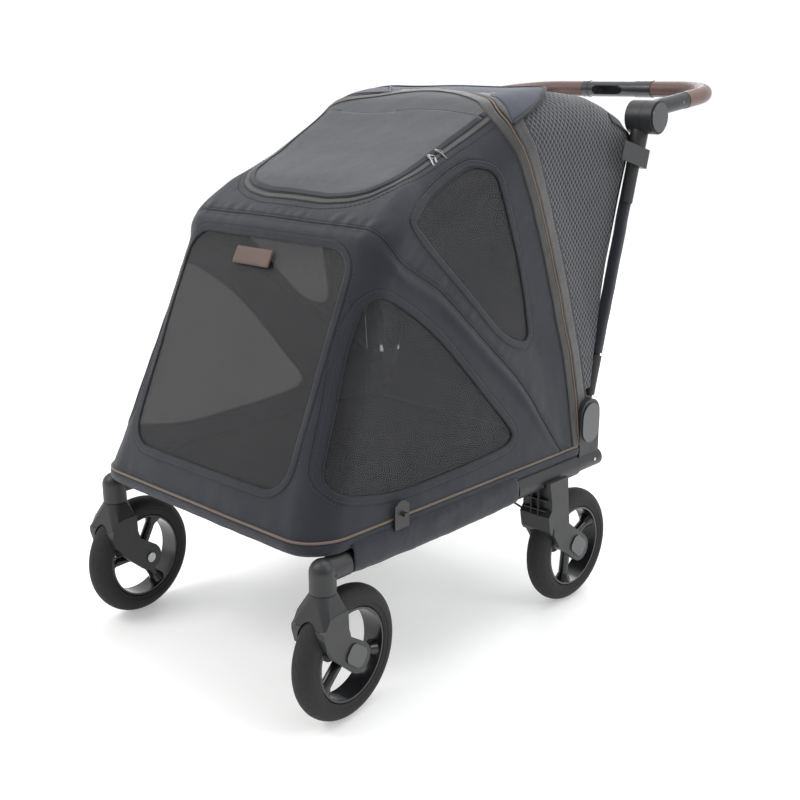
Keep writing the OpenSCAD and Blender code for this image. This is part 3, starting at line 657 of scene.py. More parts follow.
def base_mesh(n):
    """cube-sphere of rays from inside the cabin, without its bottom"""
    lo = np.array([-0.26, -0.02, Z_RIM])
    hi = np.array([0.26, 0.70, 0.93])
    centre = np.array([0.0, 0.36, 0.58])
    verts, faces, count = [], [], 0
    span = hi - lo

    def side(axis, sign):
        nonlocal count
        others = [k for k in range(3) if k != axis]
        na = max(8, int(n * span[others[0]] / 0.7))
        nb = max(8, int(n * span[others[1]] / 0.7))
        a = np.linspace(0, 1, na)
        b = np.linspace(0, 1, nb)
        A, B = np.meshgrid(a, b, indexing="ij")
        target = np.zeros((na, nb, 3))
        target[..., axis] = hi[axis] if sign > 0 else lo[axis]
        target[..., others[0]] = lo[others[0]] + span[others[0]] * A
        target[..., others[1]] = lo[others[1]] + span[others[1]] * B
        verts.append(target.reshape(-1, 3))
        faces.append(grid_tris(na, nb) + count)
        count += na * nb

    for axis, sign in ((0, 1), (0, -1), (1, 1), (1, -1), (2, 1)):
        side(axis, sign)
    t = np.vstack(verts)
    # rays start on a spine so that they meet the walls nearly square
    o = centre + (t - centre) * 0.62
    o[:, 2] = np.minimum(t[:, 2], np.interp(o[:, 1], *ROOF_T) - 0.06)
    d = t - o
    d /= np.linalg.norm(d, axis=1, keepdims=True)
    p = shoot(o, d)
    # weld the seams between the faces
    key = np.round(t * 1e6).astype(np.int64)
    _, first, inv = np.unique(key, axis=0, return_index=True, return_inverse=True)
    inv = inv.ravel()
    p = p[first]
    tri = inv[np.vstack(faces)]
    area = np.linalg.norm(np.cross(p[tri[:, 1]] - p[tri[:, 0]], p[tri[:, 2]] - p[tri[:, 0]]), axis=1)
    tri = tri[area > 1e-10]
    nrm = np.cross(p[tri[:, 1]] - p[tri[:, 0]], p[tri[:, 2]] - p[tri[:, 0]])
    g = gradient(p[tri].mean(1))
    wrong = (nrm * g).sum(1) < 0
    tri[wrong] = tri[wrong][:, ::-1]
    return p, tri


def clip(P, T, h):
    """keeps the part of a triangle mesh where h < 0; P may hold more columns than x, y, z"""
    h = np.where(np.abs(h) < 1e-6, -1e-6, h)
    s = h < 0
    k = s[T].sum(1)
    keep = T[k == 3]
    cut = {}
    extra, n0 = [], len(P)

    def mid(a, b):
        key = (a, b) if a < b else (b, a)
        if key not in cut:
            w = h[key[0]] / (h[key[0]] - h[key[1]])
            extra.append(P[key[0]] * (1 - w) + P[key[1]] * w)
            cut[key] = n0 + len(extra) - 1
        return cut[key]

    out = []
    for t in T[(k == 1) | (k == 2)]:
        a, b, c = (int(i) for i in t)
        while not (s[a] != s[b] and s[a] != s[c]):
            a, b, c = b, c, a
        ab, ac = mid(a, b), mid(a, c)
        if s[a]:
            out.append((a, ab, ac))
        else:
            out.append((ab, b, c))
            out.append((ab, c, ac))
    P2 = np.vstack([P] + ([np.array(extra)] if extra else []))
    T2 = np.vstack([keep] + ([np.array(out)] if out else []))
    used, inv = np.unique(T2, return_inverse=True)
    return P2[used], inv.reshape(-1, 3)


def contour(P, T, h):
    """ordered polylines of h = 0 on a triangle mesh; each is (points, closed)"""
    h = np.where(np.abs(h) < 1e-7, 1e-7, h)
    s = h < 0
    k = s[T].sum(1)
    ends = {}
    pts = {}

    def mid(a, b):
        key = (a, b) if a < b else (b, a)
        if key not in pts:
            w = h[key[0]] / (h[key[0]] - h[key[1]])
            pts[key] = P[key[0]] * (1 - w) + P[key[1]] * w
        return key

    for t in T[(k == 1) | (k == 2)]:
        a, b, c = (int(i) for i in t)
        while not (s[a] != s[b] and s[a] != s[c]):
            a, b, c = b, c, a
        u, v = mid(a, b), mid(a, c)
        ends.setdefault(u, []).append(v)
        ends.setdefault(v, []).append(u)
    left = set(ends)
    loops = []
    while left:
        start = next((e for e in sorted(left) if len(ends[e]) == 1), None)
        closed = start is None
        if closed:
            start = min(left)
        line = [start]
        left.discard(start)
        cur = start
        while True:
            nx = [e for e in ends[cur] if e in left]
            if not nx:
                break
            cur = nx[0]
            left.discard(cur)
            line.append(cur)
        loops.append((np.array([pts[e] for e in line]), closed and len(line) > 3))
    return [l for l in loops if len(l[0]) > 6]


def polygon_distance(px, py, poly):
    """signed distance to a closed polygon, negative inside"""
    poly = np.asarray(poly, float)
    lo, hi = poly.min(0) - 0.05, poly.max(0) + 0.05
    near = (px > lo[0]) & (px < hi[0]) & (py > lo[1]) & (py < hi[1])
    x, y = px[near], py[near]
    d2 = np.full(x.shape, 1e9)
    inside = np.zeros(x.shape, bool)
    for i in range(len(poly)):
        a, b = poly[i], poly[(i + 1) % len(poly)]
        e = b - a
        wx, wy = x - a[0], y - a[1]
        t = np.clip((wx * e[0] + wy * e[1]) / (e @ e), 0, 1)
        d2 = np.minimum(d2, (wx - e[0] * t) ** 2 + (wy - e[1] * t) ** 2)
        if e[1] != 0:
            inside ^= ((a[1] > y) != (b[1] > y)) & (x < a[0] + (y - a[1]) / e[1] * e[0])
    out = np.full(px.shape, 0.05)
    out[near] = np.where(inside, -1, 1) * np.sqrt(d2)
    return out


def smooth_polygon(points, step=0.006):
    return smooth_path(points, step, closed=True)


# outlines, in metres from the front axle: side windows are (back, up)
LOWER = smooth_polygon([(0.128, 0.647), (0.103, 0.646), (0.085, 0.627), (0.059, 0.576), (0.023, 0.490),
    (-0.012, 0.408), (-0.017, 0.388), (-0.002, 0.369),
                        (0.034, 0.357), (0.122, 0.343), (0.242, 0.344), (0.376, 0.351), (0.410, 0.361),
                        (0.410, 0.380), (0.355, 0.443), (0.263, 0.545), (0.197, 0.603)])
UPPER = smooth_polygon([(0.363, 0.831), (0.335, 0.831), (0.265, 0.800), (0.204, 0.764), (0.203, 0.742),
    (0.292, 0.655), (0.390, 0.558), (0.448, 0.527),
                        (0.472, 0.531), (0.472, 0.562), (0.446, 0.670), (0.404, 0.783), (0.385, 0.821)])
ROOF_HALF = [(0.0, 0.170), (0.070, 0.170), (0.118, 0.178), (0.150, 0.192), (0.170, 0.216), (0.178, 0.262),
    (0.181, 0.305), (0.184, 0.346), (0.189, 0.389),
             (0.195, 0.430), (0.199, 0.480), (0.200, 0.600)]
ROOF_OUTLINE = np.vstack([ROOF_HALF, [(-x, y) for x, y in ROOF_HALF[:0:-1]]])
ZIP = ([0.26, 0.315, 0.392, 0.48, 0.585, 0.678, 0.759, 0.823, 0.875, 0.913, 0.98],
       [0.607, 0.607, 0.604, 0.590, 0.563, 0.532, 0.501, 0.471, 0.444, 0.441, 0.441])
RIDGE = ([0.0, 0.116, 0.126, 0.134, 0.145, 0.156, 0.247, 0.318, 0.425, 0.466, 0.532, 0.60, 0.8],
         [0.90, 0.775, 0.752, 0.735, 0.715, 0.700, 0.645, 0.576, 0.477, 0.428, 0.332, 0.24, 0.0])
ZIP_T = smooth_interp(ZIP)
RIDGE_T = smooth_interp(RIDGE)


def f_front(p):
    x, y, z = p[:, 0], p[:, 1], p[:, 2]
    s = (z - 0.3) / 0.916
    s0, s1, r = (0.360 - 0.3) / 0.916, (0.717 - 0.3) / 0.916, 0.045
    qx, qs = np.abs(x + 0.005) - (0.197 - r), np.abs(s - (s0 + s1) / 2) - ((s1 - s0) / 2 - r)
    d = np.sqrt(np.maximum(qx, 0) ** 2 + np.maximum(qs, 0) ** 2) + np.minimum(np.maximum(qx, qs), 0) - r
    return np.where(y - front_y(z) < 0.04, d, 0.05)


def f_side(poly):
    return lambda p: np.where(np.abs(p[:, 0]) > 0.19, polygon_distance(p[:, 1], p[:, 2], poly), 0.05)


def f_roof(p):
    return np.where(p[:, 2] > 0.745, polygon_distance(p[:, 0], p[:, 1], ROOF_OUTLINE), 0.05)


def f_zip(p):
    top = np.clip((p[:, 2] - 0.90) / 0.03, 0, 1) * np.maximum(1 - (p[:, 0] / 0.21) ** 2, 0)
    return (p[:, 1] - np.interp(p[:, 2], *ZIP_T) - 0.058 * top) * 0.94


def f_ridge(p):
    slope = np.interp(p[:, 1], [0.12, 0.15], [0.36, 0.74])
    return (p[:, 2] - np.interp(p[:, 1], *RIDGE_T)) * slope


FIELDS = [f_front, f_side(LOWER), f_side(UPPER), f_roof, f_zip, f_ridge]
H_DEPTH, H_HEIGHT = 1, 2                # columns of the cabin: x y z, its normal, then the fields
H_FRONT, H_LOWER, H_UPPER, H_ROOF, H_ZIP, H_RIDGE = range(6, 12)

base_P, base_T = base_mesh(150)
field_values = np.stack([f(base_P) for f in FIELDS], 1)


def wrinkle(P, H):
    """tension folds, sag between the bows and small puckers, as a shift along the normal"""
    out = np.zeros(len(P))
    side = np.clip((np.abs(P[:, 0]) - 0.20) / 0.04, 0, 1)
    ridge, zipd, roof = H[:, H_RIDGE - 6], H[:, H_ZIP - 6], H[:, H_ROOF - 6]
    low = np.clip(-ridge / 0.10, 0, 1) * np.clip((P[:, 2] - 0.31) / 0.07, 0, 1)
    out -= 0.005 * side * low * np.clip((P[:, 1] - 0.03) / 0.1, 0, 1)
    out -= 0.0045 * side * np.clip(ridge / 0.09, 0, 1) * np.clip(-zipd / 0.08, 0, 1)
    out -= 0.006 * side * np.clip(zipd / 0.08, 0, 1) * np.clip((0.86 - P[:, 2]) / 0.1, 0, 1)
    n1, n2, n3, n4, n5 = (np.zeros(len(P)) for _ in range(5))
    for i, q in enumerate(P):
        x, y, z = float(q[0]), float(q[1]), float(q[2])
        n1[i] = noise.noise((x * 7, y * 7, z * 7 + 3))
        n2[i] = noise.noise((x * 22 + 5, y * 22, z * 22))
        n3[i] = noise.noise((x * 75, y * 75 + 9, z * 75))
        n4[i] = noise.noise((x * 60 + 20, (y - z) * 45, 4.0))
        n5[i] = noise.noise((x * 38, y * 38, z * 9 + 7))
    rear = np.clip(zipd / 0.02, 0, 1)
    out += (0.0022 * n1 + 0.0008 * n2) * (1 - 0.4 * rear) + 0.0002 * n3 * (1 - rear)
    near = np.exp(-((ridge - 0.012) / 0.016) ** 2)
    out += near * n4 * (0.0009 + 0.0014 * np.clip((0.80 - P[:, 2]) / 0.03, 0, 1)
        * (P[:, 2] > 0.735)) * (zipd < 0)
    out += 0.0011 * np.exp(-((P[:, 2] - 0.318) / 0.02) ** 2) * n5
    out += 0.0009 * np.exp(-(zipd / 0.02) ** 2) * n4
    for k in (H_FRONT, H_LOWER, H_UPPER):
        out += 0.0005 * np.exp(-((H[:, k - 6] - 0.012) / 0.012) ** 2) * n4
    # the front bow pushes the fabric out just ahead of its seam
    out += 0.0042 * np.exp(-((ridge + 0.017) / 0.0085) ** 2) * (zipd < 0.01) * np.clip((P[:, 2]
        - 0.33) / 0.1, 0.2, 1)
    out -= 0.0012 * np.exp(-(ridge / 0.0025) ** 2) * (zipd < 0.0)
    # the roof panel stands on its zip
    out += 0.0022 * np.clip(-roof / 0.004, 0, 1) * (P[:, 2] > 0.75) * (zipd < -0.004)
    # long soft folds across the roof
    out += 0.003 * np.clip(-roof / 0.03, 0, 1) * np.sin(P[:, 0] * 19 + P[:, 1] * 14 + 0.6) * (zipd < 0)
    return out * np.clip((P[:, 2] - Z_RIM) / 0.015, 0, 1)


def mesh_normals(P, T):
    """vertex normals of a triangle mesh"""
    n = np.zeros_like(P[:, :3])
    f = np.cross(P[T[:, 1], :3] - P[T[:, 0], :3], P[T[:, 2], :3] - P[T[:, 0], :3])
    for k in range(3):
        np.add.at(n, T[:, k], f)
    return n / np.maximum(np.linalg.norm(n, axis=1, keepdims=True), 1e-12)


base_N = gradient(base_P)
base_P = base_P + base_N * wrinkle(base_P, field_values)[:, None]
base_N = mesh_normals(base_P, base_T)
base = np.hstack([base_P, base_N, field_values])


def region(*tests):
    """part of the cabin where every (column, limit, side) holds: -1 is below the limit, 1 above"""
    P, T = base, base_T
    for col, limit, side in tests:
        h = (P[:, col] - limit) * -side
        P, T = clip(P, T, h)
    return P, T


def lines_at(col, value, keep=None, lift=0.0, step=0.004):
    """smoothed lines where a field has this value on the cabin"""
    out = []
    for line, closed in contour(base, base_T, base[:, col] - value):
        runs = [(line, closed)]
        k = keep(line) if keep else np.ones(len(line), bool)
        if not k.all():
            if closed:
                start = int(np.argmin(k))
                line, k = np.roll(line, -start, 0), np.roll(k, -start)
            runs, cur = [], []
            for q, ok in list(zip(line, k)) + [(None, False)]:
                if ok:
                    cur.append(q)
                elif cur:
                    runs.append((np.array(cur), False))
                    cur = []
        for l, shut in runs:
            if len(l) < 8:
                continue
            l = resample(l, step, shut)
            for _ in range(4):
                if shut:
                    l = (np.roll(l, 1, 0) + 2 * l + np.roll(l, -1, 0)) / 4
                else:
                    l[1:-1] = (l[:-2] + 2 * l[1:-1] + l[2:]) / 4
            n = l[:, 3:6] / np.linalg.norm(l[:, 3:6], axis=1, keepdims=True)
            out.append((l[:, :3] + n * lift, n, shut))
    return out


def run_along(batch, col, value, profile, keep=None, lift=0.0):
    """sweeps a profile along the lines of a field"""
    for l, n, shut in lines_at(col, value, keep, lift):
        batch.add(*sweep(l, n, profile, shut))


def sew(batch, col, value, keep=None, lift=0.0, **kw):
    """stitches along the lines of a field"""
    for l, n, shut in lines_at(col, value, keep, lift):
        stitches(batch, l, n, closed=shut, **kw)


def soft(o, body="chassis"):
    """cloth on a body, given a mesh of its own"""
    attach(o, body)
    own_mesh(o)
    return o


def cloth(name, P, T, mat, thick, lift=0.0, inner=None):
    """a thick sheet from part of the cabin surface"""
    o = new_object(name, P[:, :3] + P[:, 3:6] * lift, T, [mat] + ([inner] if inner else []))
    thicken(o, thick, inner=1 if inner else 0)
    return o


def area_of(P, T):
    """area of a triangle mesh"""
    return float(np.linalg.norm(np.cross(P[T[:, 1], :3] - P[T[:, 0], :3], P[T[:, 2], :3] - P[T[:, 0], :3]),
        axis=1).sum() / 2)


on_side = lambda q: np.abs(q[:, 0]) > 0.195
ahead = lambda q: (q[:, H_ZIP] < -0.020) & (q[:, 2] > 0.303)
in_front = lambda q: q[:, H_ZIP] < -0.016
above_rim = lambda q: q[:, 2] > 0.304
thread, thread_dark = Batch(), Batch()
sheets = []

# the cabin's canvas: front, sides and roof in one sheet with its windows cut out
P, T = region((H_ZIP, -0.004, -1), (H_FRONT, 0.0, 1), (H_LOWER, 0.0, 1), (H_UPPER, 0.0, 1), (H_ROOF, 0.0, 1))
cover = soft(cloth("cabin_canvas", P, T, "navy", 0.0022, inner="lining"))
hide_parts("front_panel", "side_panel_right", "side_panel_left", "roof_panel")
sheets.append((cover, area_of(P, T)))

# window nets
P, T = region((H_FRONT, 0.004, -1))
net_front = soft(cloth("front_window_net", P, T, "net", 0.0008, -0.0016))
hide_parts("front_mesh")
sheets.append((net_front, area_of(P, T)))
sides, side_area = Batch(), 0.0
for col in (H_LOWER, H_UPPER):
    P, T = region((col, 0.004, -1))
    sides.add(P[:, :3] - P[:, 3:6] * 0.0016, T)
    side_area += area_of(P, T)
net_side = soft(sides.make("side_window_nets", "net"))
thicken(net_side, 0.0008)
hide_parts("side_meshes")
sheets.append((net_side, side_area))
WINDOW_HINGE = 0.412
P, T = region((H_ROOF, 0.001, -1), (H_ZIP, -0.018, -1), (H_DEPTH, WINDOW_HINGE, -1))
net_roof = cloth("roof_window_net", P, T, "roofnet", 0.0012, 0.0006)
soft(net_roof, "roof_window")
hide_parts("roof_mesh")
sheets.append((net_roof, area_of(P, T)))
P, T = region((H_ROOF, 0.001, -1), (H_ZIP, -0.018, -1), (H_DEPTH, WINDOW_HINGE, 1))
net_back = soft(cloth("roof_window_net_rear", P, T, "roofnet", 0.0012, 0.0006))
sheets.append((net_back, area_of(P, T)))

# spacer mesh behind the zip, with its corners cut away round the fold hinges
P, T = region((H_ZIP, 0.002, 1))
NOTCH_X, NOTCH_Y, NOTCH_Z = 0.232, 0.598, 0.405
notch = -np.maximum(NOTCH_X - np.abs(P[:, 0]), np.maximum(P[:, 2] - NOTCH_Z, NOTCH_Y - P[:, 1]))
P, T = clip(P, T, notch)
rear = soft(cloth("rear_spacer_mesh", P, T, "rearnet", 0.0032, inner="lining"))
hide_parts("rear_cover")
sheets.append((rear, area_of(P, T)))

# folded edges round the windows, with a sewn line outside and inside
edges = Batch()
for col, keep in ((H_FRONT, None), (H_LOWER, on_side), (H_UPPER, on_side)):
    run_along(edges, col, 0.0055, tape_profile(0.012, 0.0013), keep, -0.0001)
    run_along(thread_dark, col, 0.0118, circle_profile(0.0008, 6), keep, 0.0001)
    run_along(thread_dark, col, -0.0006, circle_profile(0.0009, 6), keep, 0.0)
    sew(thread, col, 0.0092, keep, 0.0012, r=0.0004)
    sew(thread, col, 0.0150, keep, 0.0001, r=0.0004)
soft(edges.make("window_edges", "edge"))

# seam behind the front bow, with its dark cord and rows of stitches
run_along(thread_dark, H_RIDGE, 0.0, circle_profile(0.0015, 8), ahead, 0.0002)
sew(thread, H_RIDGE, 0.0065, ahead, 0.0001, r=0.0005)
sew(thread, H_RIDGE, -0.0050, ahead, 0.0001, r=0.0005)

# roof panel: its rim, the zip tape round it and the band outside
rim_tape, zip_tape = Batch(), Batch()
rim_back = Batch()
run_along(rim_tape, H_ROOF, -0.0050, tape_profile(0.0105, 0.0012),
    lambda q: in_front(q) & (q[:, 1] < WINDOW_HINGE), 0.0006)
run_along(rim_back, H_ROOF, -0.0050, tape_profile(0.0105, 0.0012),
    lambda q: in_front(q) & (q[:, 1] >= WINDOW_HINGE), 0.0006)
run_along(zip_tape, H_ROOF, 0.0055, tape_profile(0.0105, 0.0010), in_front, 0.0002)
run_along(thread_dark, H_ROOF, 0.0004, circle_profile(0.0011, 8), in_front, 0.0012)
run_along(thread_dark, H_ROOF, 0.0112, circle_profile(0.0009, 8), in_front, 0.0003)
sew(thread_dark, H_ROOF, 0.0220, in_front, 0.0002, length=0.0055, r=0.0006)
sew(thread, H_ROOF, -0.0085, in_front, 0.0016, r=0.0004)
soft(rim_tape.make("roof_panel_rim", "edge"), "roof_window")
soft(rim_back.make("roof_panel_rim_rear", "edge"))
soft(zip_tape.make("roof_zip_tape", "satin"))

# zip up the middle bow: satin flap, bronze piping, ribbed webbing and its binding
flap, piping, band, trim = Batch(), Batch(), Batch(), Batch()
run_along(flap, H_ZIP, -0.0125, tape_profile(0.018, 0.0020), above_rim, 0.0002)
run_along(piping, H_ZIP, -0.0018, circle_profile(0.0019, 8), above_rim, 0.0016)
run_along(band, H_ZIP, 0.0150, tape_profile(0.029, 0.0022), above_rim, 0.0004)
run_along(trim, H_ZIP, 0.0315, tape_profile(0.0065, 0.0016), above_rim, 0.0002)
sew(thread, H_ZIP, 0.0040, above_rim, 0.0026, r=0.0004)
sew(thread, H_ZIP, 0.0265, above_rim, 0.0026, r=0.0004)
sew(thread, H_ZIP, -0.0235, above_rim, 0.0002, r=0.0004)
soft(flap.make("bow_zip_flap", "satin"))
soft(band.make("bow_webbing", "webbing"))

# piping round the rim
past_notch = lambda q: (np.abs(q[:, 0]) < NOTCH_X) | (q[:, 1] < NOTCH_Y)
for l, n, shut in lines_at(H_HEIGHT, 0.3050, past_notch, 0.0008):
    piping.add(*sweep(l, n, circle_profile(0.0021, 8), shut))
soft(piping.make("bronze_piping", "piping"))

# binding down the rear corners, beside the handle tubes
corner = lambda q: (q[:, 1] > 0.62) & (q[:, 2] < 0.90) & (q[:, 2] > 0.41)
base = np.hstack([base, np.abs(base[:, :1])])
H_WIDTH = base.shape[1] - 1
for l, n, shut in lines_at(H_WIDTH, 0.236, corner, 0.0004):
    trim.add(*sweep(l, n, tape_profile(0.022, 0.0016), shut))
soft(trim.make("rear_bindings", "edge"))

# skirt below the piping: it hangs from the rim and tucks in under it
skirt = Batch()
for l, n, shut in lines_at(H_HEIGHT, 0.3035):
    n = n * np.array([1, 1, 0.0])
    n /= np.linalg.norm(n, axis=1, keepdims=True)
    along = np.r_[0, np.cumsum(np.linalg.norm(np.diff(l, axis=0), axis=1))]
    rows = []
    for down, out_, wob in ((0.0, 0.0, 0), (-0.004, 0.0012, 0.3), (-0.009, 0.0014, 0.8), (-0.014, 0.0006, 1),
        (-0.0185, -0.0022, 1), (-0.021, -0.0065, 0.6), (-0.020, -0.012, 0.2)):
        w = np.array([noise.noise((float(a) * 30, down * 80, 2.0)) for a in along]) * 0.0016 * wob
        rows.append(l + n * (out_ + w)[:, None] + np.array([0, 0, down]))
    skirt.add(np.stack(rows, 1).reshape(-1, 3), grid_tris(len(l), len(rows), shut, False))
    for down in (-0.0035, -0.0155):
        stitches(thread, l + n * 0.0018 + np.array([0, 0, down]), n, r=0.0004, closed=shut)
skirt_o = skirt.make("rim_skirt", "navy")
thicken(skirt_o, 0.0014)
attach(skirt_o, "chassis")
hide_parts("base_skirt")

# sleeves of canvas that hang the floor on the side rails
sleeves = Batch()
lo, hi = (np.array(c) - np.array([OX, OY, 0]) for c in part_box("rail_covers"))
for side in (-1, 1):
    ys = np.linspace(lo[1], hi[1], 110)
    ang = np.linspace(0, 2 * math.pi, 33)[:-1]
    rows = []
    for y in ys:
        end = min(y - lo[1], hi[1] - y)
        r = 0.0172 + 0.0008 * min(1, end / 0.02)
        ring = []
        for a in ang:
            c, sn = math.cos(a), math.sin(a)
            k = 1 / (abs(c) ** 3.0 + abs(sn) ** 3.0) ** (1 / 3.0)
            w = 0.0012 * noise.noise((side * 3 + c * 1.5, y * 26, sn * 1.5)) + 0.0005 * noise.noise((c * 4,
                y * 90, sn * 4))
            hang = 0.0035 * max(0, -sn) * math.sin(math.pi * (y - lo[1]) / (hi[1] - lo[1]))
            ring.append((side * 0.277 + (r * k + w) * c, y, 0.2665 + (r * 1.35 * k + w) * sn - hang + 0.003))
        rows.append(ring)
    v = np.array(rows)
    sleeves.add(v.reshape(-1, 3), grid_tris(len(ys), len(ang), False, True))
    for y0 in (lo[1] + 0.004, hi[1] - 0.004):
        i = int(np.argmin(np.abs(ys - y0)))
        ringp = v[i]
        cen = ringp.mean(0)
        nn = ringp - cen
        stitches(thread, ringp, nn / np.linalg.norm(nn, axis=1, keepdims=True), closed=True, r=0.0004)
    for k in (3, 30):
        lp = v[:, k]
        nn = lp - v.mean(1)
        stitches(thread, lp, nn / np.linalg.norm(nn, axis=1, keepdims=True), r=0.0004)
sleeve = sleeves.make("rail_sleeves", "navy")
thicken(sleeve, 0.0014)
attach(sleeve, "chassis")
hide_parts("rail_covers")

# small rolled flap over the rear zip
def top_z(x, y):
    """height of the roof over points"""
    o = np.stack([x, y, np.full_like(x, 0.70)], 1)
    return shoot(o, np.tile(np.array([0, 0, 1.0]), (len(x), 1)))[:, 2]


nu, nv = 61, 25
U, V = np.meshgrid(np.linspace(-1, 1, nu), np.linspace(0, 1, nv), indexing="ij")
half = 0.232 - 0.018 * V ** 3
X = half * np.sign(U) * np.abs(U) ** 0.85
Y = 0.445 + 0.045 * (1 - U ** 2) + (0.155 - 0.045 * (1 - U ** 2) * 0.4) * V - 0.05 * np.abs(U) ** 7 * V
Z = (top_z(X.ravel(), Y.ravel()).reshape(X.shape) + 0.0035 + 0.002 * V ** 2
     + 0.006 * np.abs(U) ** 8 * V + 0.0008 * np.sin(X * 31 + V * 3))
P = np.stack([X, Y, Z], -1)
rear_flap = new_object("rear_flap", P.reshape(-1, 3), grid_tris(nu, nv)[:, ::-1], ["flap", "navy"])
thicken(rear_flap, 0.0022, inner=1)
soft(rear_flap)
fb = Batch()
border = np.vstack([P[0, :, :], P[1:, -1, :], P[-1, -2::-1, :]])
border = resample(border, 0.004)
for _ in range(6):
    border[1:-1] = (border[:-2] + 2 * border[1:-1] + border[2:]) / 4
fb.add(*sweep(border, free_normals(border), circle_profile(0.0036, 10, 0.8)))
soft(fb.make("rear_flap_binding", "binding"))

# blank leather patch sewn on the front net
LABEL_X, LABEL_Z = -0.0235, 0.686
pu, pv = np.linspace(-1, 1, 41), np.linspace(-1, 1, 15)
A, B = np.meshgrid(pu, pv, indexing="ij")
sq = lambda a, b: a * np.sqrt(1 - 0.02 * b ** 8)
X = LABEL_X + 0.0455 * sq(A, B)
Zp = LABEL_Z + 0.0128 * sq(B, A)
o_ = np.stack([X.ravel(), np.full(X.size, 0.4), Zp.ravel()], 1)
S = shoot(o_, np.tile(np.array([0, -1.0, 0]), (X.size, 1)))
N_ = gradient(S)
edge_d = np.minimum(1 - np.abs(A), (1 - np.abs(B)) * 0.28).ravel()
puff = 0.0019 * np.clip(edge_d / 0.03, 0, 1) ** 0.5 - 0.0005 * np.exp(-((edge_d - 0.055) / 0.012) ** 2)
patch_o = new_object("leather_label", S + N_ * (0.0028 + puff)[:, None], grid_tris(41, 15), "patch")
thicken(patch_o, 0.0014)
soft(patch_o)
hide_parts("leather_patch")
pale = Batch()
lab = np.array([(LABEL_X + 0.0423 * math.copysign(abs(math.cos(t)) ** 0.18, math.cos(t)), 0.4,
    LABEL_Z + 0.0102 * math.copysign(abs(math.sin(t)) ** 0.18, math.sin(t)))
    for t in np.linspace(0, 2 * math.pi, 400)[:-1]])
LS = shoot(lab, np.tile(np.array([0, -1.0, 0]), (len(lab), 1)))
LN = gradient(LS)
stitches(pale, LS + LN * 0.0046, LN, length=0.0026, gap=0.0016, r=0.0004, closed=True)
soft(pale.make("label_stitching", "thread_pale"))

# floor mat: a padded slab with its quilting
flo, fhi = (np.array(c) - np.array([OX, OY, 0]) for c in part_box("floor_mat"))
nx, ny = 90, 110
A, B = np.meshgrid(np.linspace(-1, 1, nx), np.linspace(-1, 1, ny), indexing="ij")
cx, cy = (flo[0] + fhi[0]) / 2, (flo[1] + fhi[1]) / 2
hx, hy = (fhi[0] - flo[0]) / 2 - 0.001, (fhi[1] - flo[1]) / 2 - 0.001
Xm = cx + hx * A * np.sqrt(1 - 0.06 * np.abs(B) ** 10)
Ym = cy + hy * B * np.sqrt(1 - 0.05 * np.abs(A) ** 10)
quilt = np.abs(np.sin((Xm + Ym) * 38) * np.sin((Xm - Ym) * 38)) ** 0.4
rimf = np.clip(np.minimum(1 - np.abs(A), 1 - np.abs(B)) / 0.05, 0, 1) ** 0.5
th = fhi[2] - flo[2]
top = flo[2] + th * (0.35 + 0.45 * rimf + 0.2 * quilt * rimf)
bot = np.full_like(top, flo[2] + 0.0003) + th * 0.3 * (1 - rimf)
v = np.vstack([np.stack([Xm, Ym, top], -1).reshape(-1, 3), np.stack([Xm, Ym, bot], -1).reshape(-1, 3)])
g = grid_tris(nx, ny)
k = nx * ny
ring = ([i * ny for i in range(nx)] + [(nx - 1) * ny + j for j in range(1, ny)]
        + [i * ny + ny - 1 for i in range(nx - 2, -1, -1)] + list(range(ny - 2, 0, -1)))
ring = np.array(ring)
nxt = np.roll(ring, -1)
g2 = np.vstack([g[:, ::-1], g + k, quads(np.stack([ring, nxt, nxt + k, ring + k], 1))])
mat_o = new_object("floor_pad", v, g2, "felt")
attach(mat_o, "chassis")
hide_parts("floor_mat")

soft(thread.make("stitching", "thread"))
soft(thread_dark.make("seam_cords", "binding"))

for o, a in sheets:
    w = math.sqrt(a / 0.8)

# ------------------------------------------------------------------ wire pulls on the roof zip's sliders
pulls = Batch()
for y, yaw, drop_ in ((0.297, -0.25, 0.80), (0.313, 0.22, 0.66)):
    foot = np.array([[0.182, y, 0.80]])
    foot[0, 2] = shoot(foot, np.array([[0, 0, 1.0]]))[0, 2] + 0.0045
    out_ = np.array([math.cos(yaw) * math.cos(drop_), math.sin(yaw), -math.sin(drop_) * math.cos(yaw)])
    out_ /= np.linalg.norm(out_)
    wide = np.cross(out_, (0, 0, 1.0))
    wide /= np.linalg.norm(wide)
    face = np.cross(wide, out_)
    for length, half_w, start, rad in ((0.0235, 0.0048, 0.0, 0.0011), (0.0130, 0.0030, 0.0065, 0.0009)):
        t = np.linspace(0, 2 * math.pi, 49)[:-1]
        a = np.sign(np.cos(t)) * np.abs(np.cos(t)) ** 0.45
        b = np.sign(np.sin(t)) * np.abs(np.sin(t)) ** 0.45
        loop = (foot + out_ * (start + (a + 1)[:, None] * length / 2)
                + wide * (b * half_w)[:, None] + face * 0.002)
        pulls.add(*sweep(loop, np.tile(face, (len(loop), 1)), circle_profile(rad, 8), True))
    slide = (foot + np.array([[-0.0045, 0, 0.0005]])
             + out_ * np.linspace(-0.002, 0.009, 9)[:, None] * np.array([1, 1, 0.6]))
    pulls.add(*sweep(slide, np.tile(face, (9, 1)), [(-0.0036, -0.002), (-0.0042, 0.0), (-0.0028, 0.0024),
        (0.0028, 0.0024), (0.0042, 0.0), (0.0036, -0.002)]))
pull_o = pulls.make("zip_pull_wires", "wirepull")
soft(pull_o, "zip_pulls")
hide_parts("zip_pulls")

